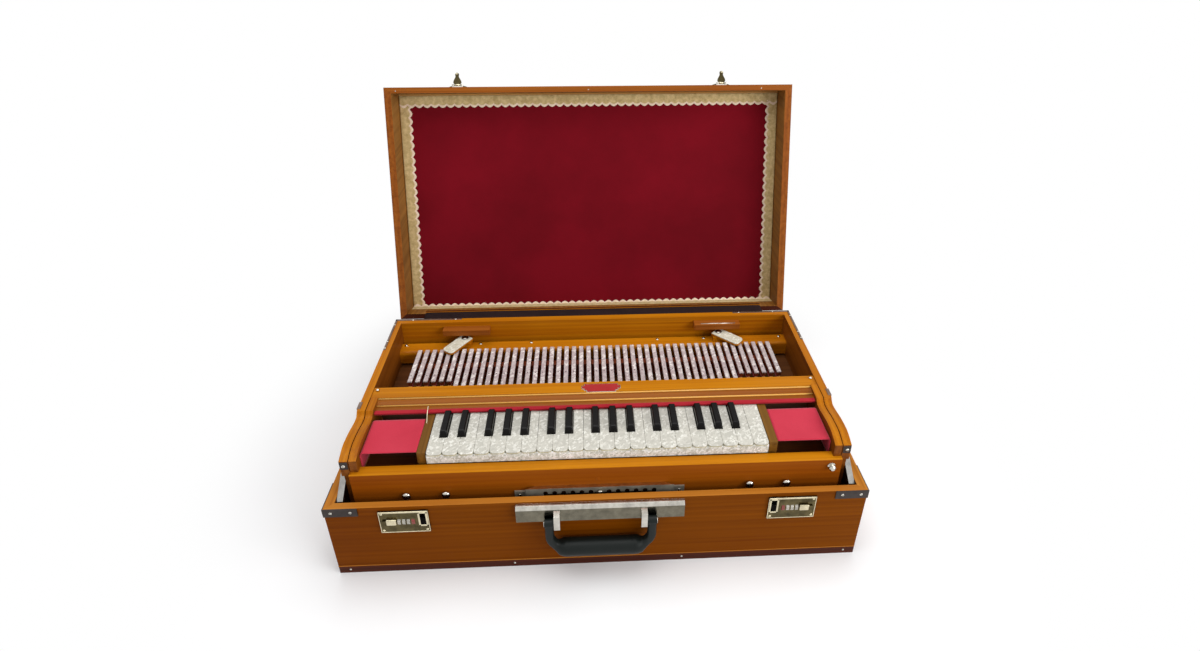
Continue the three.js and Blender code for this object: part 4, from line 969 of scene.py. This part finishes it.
def rear_bar_screws():
    screw_x = (-0.316, -0.1926, -0.108, 0.105, 0.1844, 0.314)
    places = [(x, REAR_BAR_SCREW_LINE, REAR_BAR_TOP) for x in screw_x]
    screw_heads("rear_bar_screws", "instrument", places, (0, 0, 1), 0.0027, 0.0018)


def body_metal():
    """Straps at the back corners, caps on the side boards' front ends and plates at the shoulders."""
    t, sunk = 0.0007, 0.0002
    strap_start, strap_wide = 0.042, 0.0034
    cap_low, cap_high = 0.1635, 0.1755
    plate_front, plate_back, plate_out = SHOULDER + 0.004, SHOULDER + 0.018, BOARD_OUTER + 0.0016
    top = BODY_TOP + t
    straps, heads, caps, cap_heads, plates = [], [], [], [], []
    for side, reach in ((-1, 0.224), (1, 0.236)):
        back = BODY_BACK + t, top
        inner = BOARD_OUTER - strap_wide
        straps.append(beside(side, reach, BOARD_OUTER, (BODY_BACK - strap_wide, BODY_TOP - sunk), back))
        straps.append(beside(side, reach, BOARD_OUTER, (BODY_BACK - sunk, BODY_TOP - 0.012), back))
        straps.append(beside(side, inner, BOARD_OUTER, (strap_start, BODY_TOP - sunk), back))
        heads += [(side * (BOARD_OUTER - strap_wide / 2), y, top) for y in (0.047, 0.064, 0.11)]
        heads += [(side * x, BODY_BACK - 0.002, top) for x in (reach + 0.01, 0.305)]
        low, high = (BOARD_FRONT - t, cap_low), (BOARD_FRONT + sunk, cap_high)
        caps.append(beside(side, BOARD_INNER + 0.0004, BOARD_OUTER, low, high))
        cap_heads.append((side * (BOARD_OUTER - 0.005), BOARD_FRONT - t, cap_low + 0.0055))
        low, high = (plate_front, BODY_TOP - 0.026), (plate_back, BODY_TOP - 0.0015)
        plates.append(beside(side, BOARD_OUTER - sunk, plate_out, low, high))
        low, high = (plate_front, BODY_TOP - 0.002), (plate_back, BODY_TOP + 0.0008)
        plates.append(beside(side, BOARD_OUTER - 0.0035, plate_out, low, high))
    blocks("body_corner_straps", straps, "strap", "instrument", bevel=0.0003)
    screw_heads("strap_screws", "instrument", heads, (0, 0, 1), 0.0017, 0.0007)
    blocks("board_end_caps", caps, "dull", "instrument", bevel=0.0004)
    screw_heads("board_end_screws", "instrument", cap_heads, (0, -1, 0), 0.0026, 0.0012)
    blocks("shoulder_plates", plates, "strap", "instrument", bevel=0.0005)


def ledge_line():
    """The bright wire let into the right ledge."""
    start, end, radius = 0.178, 0.237, 0.0008
    profile, place = [(radius, 0), (radius, end - start)], (start, 0.103, BODY_TOP - 0.0078)
    turned("ledge_wire", profile, [place], (1, 0, 0), "nickel", "instrument", sides=10)


def key_block_hook():
    """The thin wire that stands at the back of the left key block and leans under the rail."""
    bends = [(-0.2359, -0.113, -0.0005), (-0.2362, -0.106, 0.0052)]
    bends += [(-0.2366, -0.0985, 0.0088), (-0.237, -0.0905, 0.01)]
    curve = bpy.data.curves.new("key_block_wire", "CURVE")
    curve.dimensions = "3D"
    curve.bevel_depth = 0.0006
    curve.bevel_resolution = 3
    spline = curve.splines.new("NURBS")
    spline.points.add(len(bends) - 1)
    for point, (x, y, above) in zip(spline.points, bends):
        point.co = (x, y, KEY_TOP + above, 1)
    spline.use_endpoint_u = True
    spline.order_u = 3
    place_mesh("key_block_wire", curve, "bright", "keyboard")


def panel_screws():
    """Screws through the scale plate's end tabs, and the wooden plug above it."""
    places = [(side * 0.106, PANEL_FACE - 0.0022, 0.1142) for side in (-1, 1)]
    screw_heads("scale_plate_screws", "instrument", places, (0, -1, 0), 0.0022, 0.001)
    plug = [(-0.003, PANEL_FACE, 0.1373)]
    # The plug takes the darker front wood of the panel: painted shade.
    screw_heads("panel_plug", "instrument", plug, (0, -1, 0), 0.0028, 0.0004, False, "panel")


badge()
rail_trim()
rear_bar_screws()
body_metal()
ledge_line()
key_block_hook()
panel_screws()

# The keys, their frame and the side cards

WHITE_KEYS = [f"key_white_{k + 1:02d}" for k in range(22)]
BLACK_KEYS = [f"key_black_{k + 1:02d}" for k in range(15)]
KEY_BLOCK_START = 0.2268
CARD_BACK = -0.1052

# Forward-facing faces of the white keys get the lighter celluloid: painted light.
for name in WHITE_KEYS:
    paint(name, [("key_front_lit", lambda c, n: n.y < -0.7), ("key_pearl", None)], 0.0003)
for name in BLACK_KEYS:
    paint(name, [("black", None)], 0.0019, 4, 25)
paint("key_frame", [("block", lambda c, n: abs(c.x) > KEY_BLOCK_START), ("inside", None)])
paint("scale_lever", [("nickel", None)], 0.0004)
for name in ("front_left", "rear_left", "front_right", "rear_right"):
    paint(f"arm_{name}", [("steel", None)], 0.0005)


def key_lips():
    """The celluloid top of each white key stands over its front, with rounded corners."""
    thick, glue, over, round_off, gap = 0.0022, 0.0008, 0.0024, 0.0052, 0.00021
    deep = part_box(BLACK_KEYS[0])[0].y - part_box(WHITE_KEYS[0])[0].y - 0.0015
    for name in WHITE_KEYS:
        number = name[-2:]
        lo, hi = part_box(name)
        x0, x1 = lo.x - gap, hi.x + gap
        outline = rounded_front(x0, x1, lo.y - over, lo.y + deep, round_off, 6)
        top, edge = hi.z + 0.0001, hi.z - thick
        slab(f"key_lip_{number}", outline, edge, top, "key_pearl", name, bevel=0.0006)
        slab(f"key_glue_{number}", outline, edge - glue, edge, "key_edge", name, bevel=0.0001)
        # The aprons take the lighter front celluloid: painted light.
        apron = ((x0, lo.y - 0.0005, lo.z + 0.0006), (x1, lo.y + 0.0002, edge - glue))
        blocks(f"key_apron_{number}", [apron], "key_front_lit", name, bevel=0.0002)


def side_cards():
    """The red cloth at each end of the keys, from the end block over the cheek and down it."""
    lo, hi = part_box("side_cloth")
    y0, y1 = lo.y, CARD_BACK
    top, low = hi.z - 0.0003, lo.z + 0.004
    reach, start, bend = hi.x - 0.0004, 0.2388, 0.0045
    path = [(start + (reach - bend - start) * k / 22, top) for k in range(23)]
    path += arc((reach - bend, top - bend), bend, 90, 0, 8)[1:]
    path += [(reach, top - bend - (top - bend - low) * k / 6) for k in range(1, 7)]
    rows = 20
    for side, word in SIDES:
        bm = bmesh.new()
        grid = []
        for x, z in path:
            span = min(1, (x - start) / (reach - start))
            line = []
            for j in range(rows + 1):
                t = j / rows
                sag = 0.0009 * math.sin(math.pi * span) * math.sin(math.pi * t)
                line.append(bm.verts.new((side * x, y0 + (y1 - y0) * t, z - sag)))
            grid.append(line)
        weave(bm, grid)
        piece = from_bmesh(f"side_card_{word}", bm, "felt", None)
        solid = piece.modifiers.new("thick", "SOLIDIFY")
        solid.thickness = 0.0009
        solid.offset = -side
        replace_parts(piece, "side_cloth")
        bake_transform(piece)


key_lips()
side_cards()

# The reed levers


def lever(bm, x, width, front, back, top, low, bevel, material):
    """A bar with bevelled upper edges and ends."""
    w = width / 2
    outline = [(-w, low), (w, low), (w, top - bevel), (w - bevel, top), (bevel - w, top), (-w, top - bevel)]
    rings = []
    for y, at_end in ((front, True), (front + bevel, False), (back - bevel, False), (back, True)):
        ring = []
        for u, z in outline:
            drop = bevel if at_end and z > top - bevel * 0.5 else 0
            ring.append(bm.verts.new((x + u, y, z - drop)))
        rings.append(ring)
    bridge(bm, rings, material)


def reed_levers():
    """Pearl-faced wooden levers, with bevelled tops, felt pads and the batten they turn on."""
    lo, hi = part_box("lever_bank")
    back, top = hi.y, hi.z
    count, short_count = 49, 6
    pitch, half, width, short = 0.012, 0.288, 0.0068, 0.0791
    tall, veneer, glue, pin_line = 0.008, 0.0026, 0.00005, 0.0138
    under = top - tall
    bars = bmesh.new()
    pads, tabs, pins = [], [], []
    for i in range(count):
        x = pitch * i - half
        is_short = i < short_count or i >= count - short_count
        front = back - short if is_short else lo.y
        lever(bars, x, width, front, back, top, top - veneer, 0.0008, 0)
        lever(bars, x, width, front + 0.0004, back, top - veneer - glue, under, 0.0001, 1)
        pads.append(centred(x, 0.0028, (front + 0.003, under - 0.006), (front + 0.016, under + 0.0002)))
        if is_short:
            tabs.append(centred(x, 0.0026, (front - 0.0022, under - 0.0095), (front + 0.0012, under - 0.002)))
        pins.append((x, pin_line, top))
    woods = "lever_pearl lever_wood"
    piece = from_bmesh("reed_levers", bars, woods, "instrument", smooth=False)
    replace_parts(piece, "lever_bank")
    blocks("lever_pads", pads, "felt", "instrument", bevel=0.0006)
    blocks("lever_tabs", tabs, "pale", "instrument", bevel=0.0005)
    batten = centred(0, half + 0.005, (back - 0.038, SOUND_BOARD), (back - 0.026, under))
    blocks("lever_batten", [batten], "lever_wood", "instrument", bevel=0.001)
    pin = [(0.0009, -0.001), (0.0009, 0.0002), (0.0004, 0.0005)]
    turned("lever_pins", pin, pins, (0, 0, 1), "dull", "instrument", sides=10)


reed_levers()

# Turn buttons and stop knobs


def turn_buttons():
    """Wooden buttons with pearl tops, each turned to its place in the photograph, on a screw."""
    thick, pearl_thick, round_off = 0.005, 0.0022, 0.006
    half, rear, front = 0.0105, 0.007, -0.043
    outline = rounded_front(-half, half, front, rear, round_off, 5)
    washer = [(0.0058, 0), (0.0058, 0.0004), (0.0052, 0.0006)]
    seam = thick - pearl_thick
    for word, lean in (("left", -35), ("right", 48)):
        node = f"turn_button_{word}"
        pivot = Vector(joints[f"turn_{word}"]["pos_m"])
        pivot.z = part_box(node)[0].z
        spin = Matrix.Translation(pivot) @ Matrix.Rotation(math.radians(lean), 4, "Z")
        lower = slab(f"turn_wood_{word}", outline, 0, seam, "body_y", node, spin, 0.0004)
        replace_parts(lower, node)
        slab(f"turn_pearl_{word}", outline, seam, thick, "cream_pearl", node, spin, 0.0009, 3)
        place = pivot + Vector((0, 0, thick))
        screw_heads(f"turn_screw_{word}", "instrument", [place], (0, 0, 1), 0.004, 0.0014, False)
        turned(f"turn_washer_{word}", washer, [place], (0, 0, 1), "steel", "instrument")


def stop_knobs():
    """Small turned knobs with a collar, pointing at the player."""
    shares = [(0.42, -0.35), (0.42, 0.08), (0.72, 0.14), (0.95, 0.34), (1, 0.5)]
    shares += [(0.93, 0.72), (0.7, 0.92), (0.4, 1), (0.05, 1.02)]
    for k in range(4):
        node = f"stop_knob_{k + 1}"
        lo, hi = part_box(node)
        radius, deep = (hi.x - lo.x) / 2, PANEL_FACE - lo.y
        place = ((lo.x + hi.x) / 2, PANEL_FACE, (lo.z + hi.z) / 2)
        name, profile = f"stop_knob_round_{k + 1}", [(radius * r, deep * d) for r, d in shares]
        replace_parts(turned(name, profile, [place], (0, -1, 0), "nickel", node, sides=28), node)


turn_buttons()
stop_knobs()

# The bellows


def bellows():
    """Pleated card and leather between the back wall and the board."""
    lo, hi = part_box("bellows_folds")
    folds, steps, deep, radius = 5, 6, 0.003, 0.004
    bm = bmesh.new()
    rings = []
    for k in range(folds * steps + 1):
        y = lo.y + (hi.y - lo.y) / folds * k / steps
        inset = deep * (0.5 + 0.5 * math.cos(2 * math.pi * (k % steps) / steps)) ** 0.8
        x, low, high = hi.x - inset - radius, lo.z + inset + radius, hi.z - inset - radius
        ring = []
        for cx, cz, a in ((x, low, -90), (x, high, 0), (-x, high, 90), (-x, low, 180)):
            ring += [bm.verts.new((px, y, pz)) for px, pz in arc((cx, cz), radius, a, a + 90, 4)]
        rings.append(ring)
    bridge(bm, rings)
    piece = from_bmesh("bellows_pleats", bm, "leather", None)
    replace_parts(piece, "bellows_folds")
    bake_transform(piece)
    paint("bellows_board", [("dark", lambda c, n: n.z > 0.5), ("body_x", None)], 0.0008)


bellows()

# Floor and light


def seen_rays(tree):
    """One for rays from the camera, in a mirror or through glass; nought for light on the object."""
    path = add_node(tree, "ShaderNodeLightPath").outputs
    value = path["Is Camera Ray"]
    for kind in ("Is Glossy Ray", "Is Transmission Ray"):
        value = add_node(tree, "ShaderNodeMath", {0: value, 1: path[kind]}, operation="MAXIMUM").outputs[0]
    return value


def floor():
    """A pale floor that keeps the object's shadow and turns to plain white further out."""
    size, white_from, white_at = 24, 0.41, 0.66
    bm = bmesh.new()
    bmesh.ops.create_grid(bm, x_segments=1, y_segments=1, size=size)
    n = Nodes("floor")
    tone = n.ramp(n.spots(3), [(0.3, linear(246, 246, 246)), (0.7, linear(250, 250, 250))])
    n.finish(tone, 0.9)
    away = n.add("ShaderNodeVectorMath", {0: n.coords}, operation="LENGTH").outputs["Value"]
    inputs = {"Value": away, "From Min": white_from, "From Max": white_at}
    fade = n.add("ShaderNodeMapRange", inputs, interpolation_type="SMOOTHSTEP").outputs["Result"]
    seen = n.add("ShaderNodeMath", {0: seen_rays(n.tree), 1: fade}, operation="MULTIPLY").outputs[0]
    white = n.add("ShaderNodeEmission", {"Color": GREY[100]}).outputs[0]
    blend = n.add("ShaderNodeMixShader", {0: seen, 1: n.shader.outputs[0], 2: white}).outputs[0]
    put(n.tree.nodes["Material Output"].inputs["Surface"], blend)
    piece = from_bmesh("floor", bm, "floor", None)
    piece.location.z = -0.0002


floor()


def area_light(name, place, aim, size, watts):
    data = bpy.data.lights.new(name, "AREA")
    data.shape = "RECTANGLE"
    data.size, data.size_y = size
    data.energy = watts
    lamp = bpy.data.objects.new(name, data)
    bpy.context.scene.collection.objects.link(lamp)
    lamp.location = place
    lamp.rotation_mode = "QUATERNION"
    lamp.rotation_quaternion = (Vector(aim) - Vector(place)).to_track_quat("-Z", "Y")


area_light("top_light", (-0.2, 0.1, 2.4), (0, 0, 0.1), (2.4, 2.0), 34)
area_light("front_light", (2.1, -1.8, 1.3), (0, 0, 0.2), (1.6, 1.1), 31)
area_light("right_light", (2.0, -0.7, 1.2), (0, 0, 0.2), (1.0, 1.2), 12)


def world():
    """Soft light from all round, and white where the surroundings are seen."""
    made = bpy.data.worlds.new("studio")
    bpy.context.scene.world = made
    made.use_nodes = True
    tree = made.node_tree
    tree.nodes.clear()
    light = add_node(tree, "ShaderNodeBackground", {"Color": (0.97, 0.98, 1.0, 1), "Strength": 0.5})
    seen = add_node(tree, "ShaderNodeBackground", {"Color": GREY[100], "Strength": 1.0})
    inputs = {0: seen_rays(tree), 1: light.outputs[0], 2: seen.outputs[0]}
    mix = add_node(tree, "ShaderNodeMixShader", inputs)
    add_node(tree, "ShaderNodeOutputWorld", {"Surface": mix.outputs[0]})


world()
bpy.context.scene.view_settings.view_transform = "Standard"
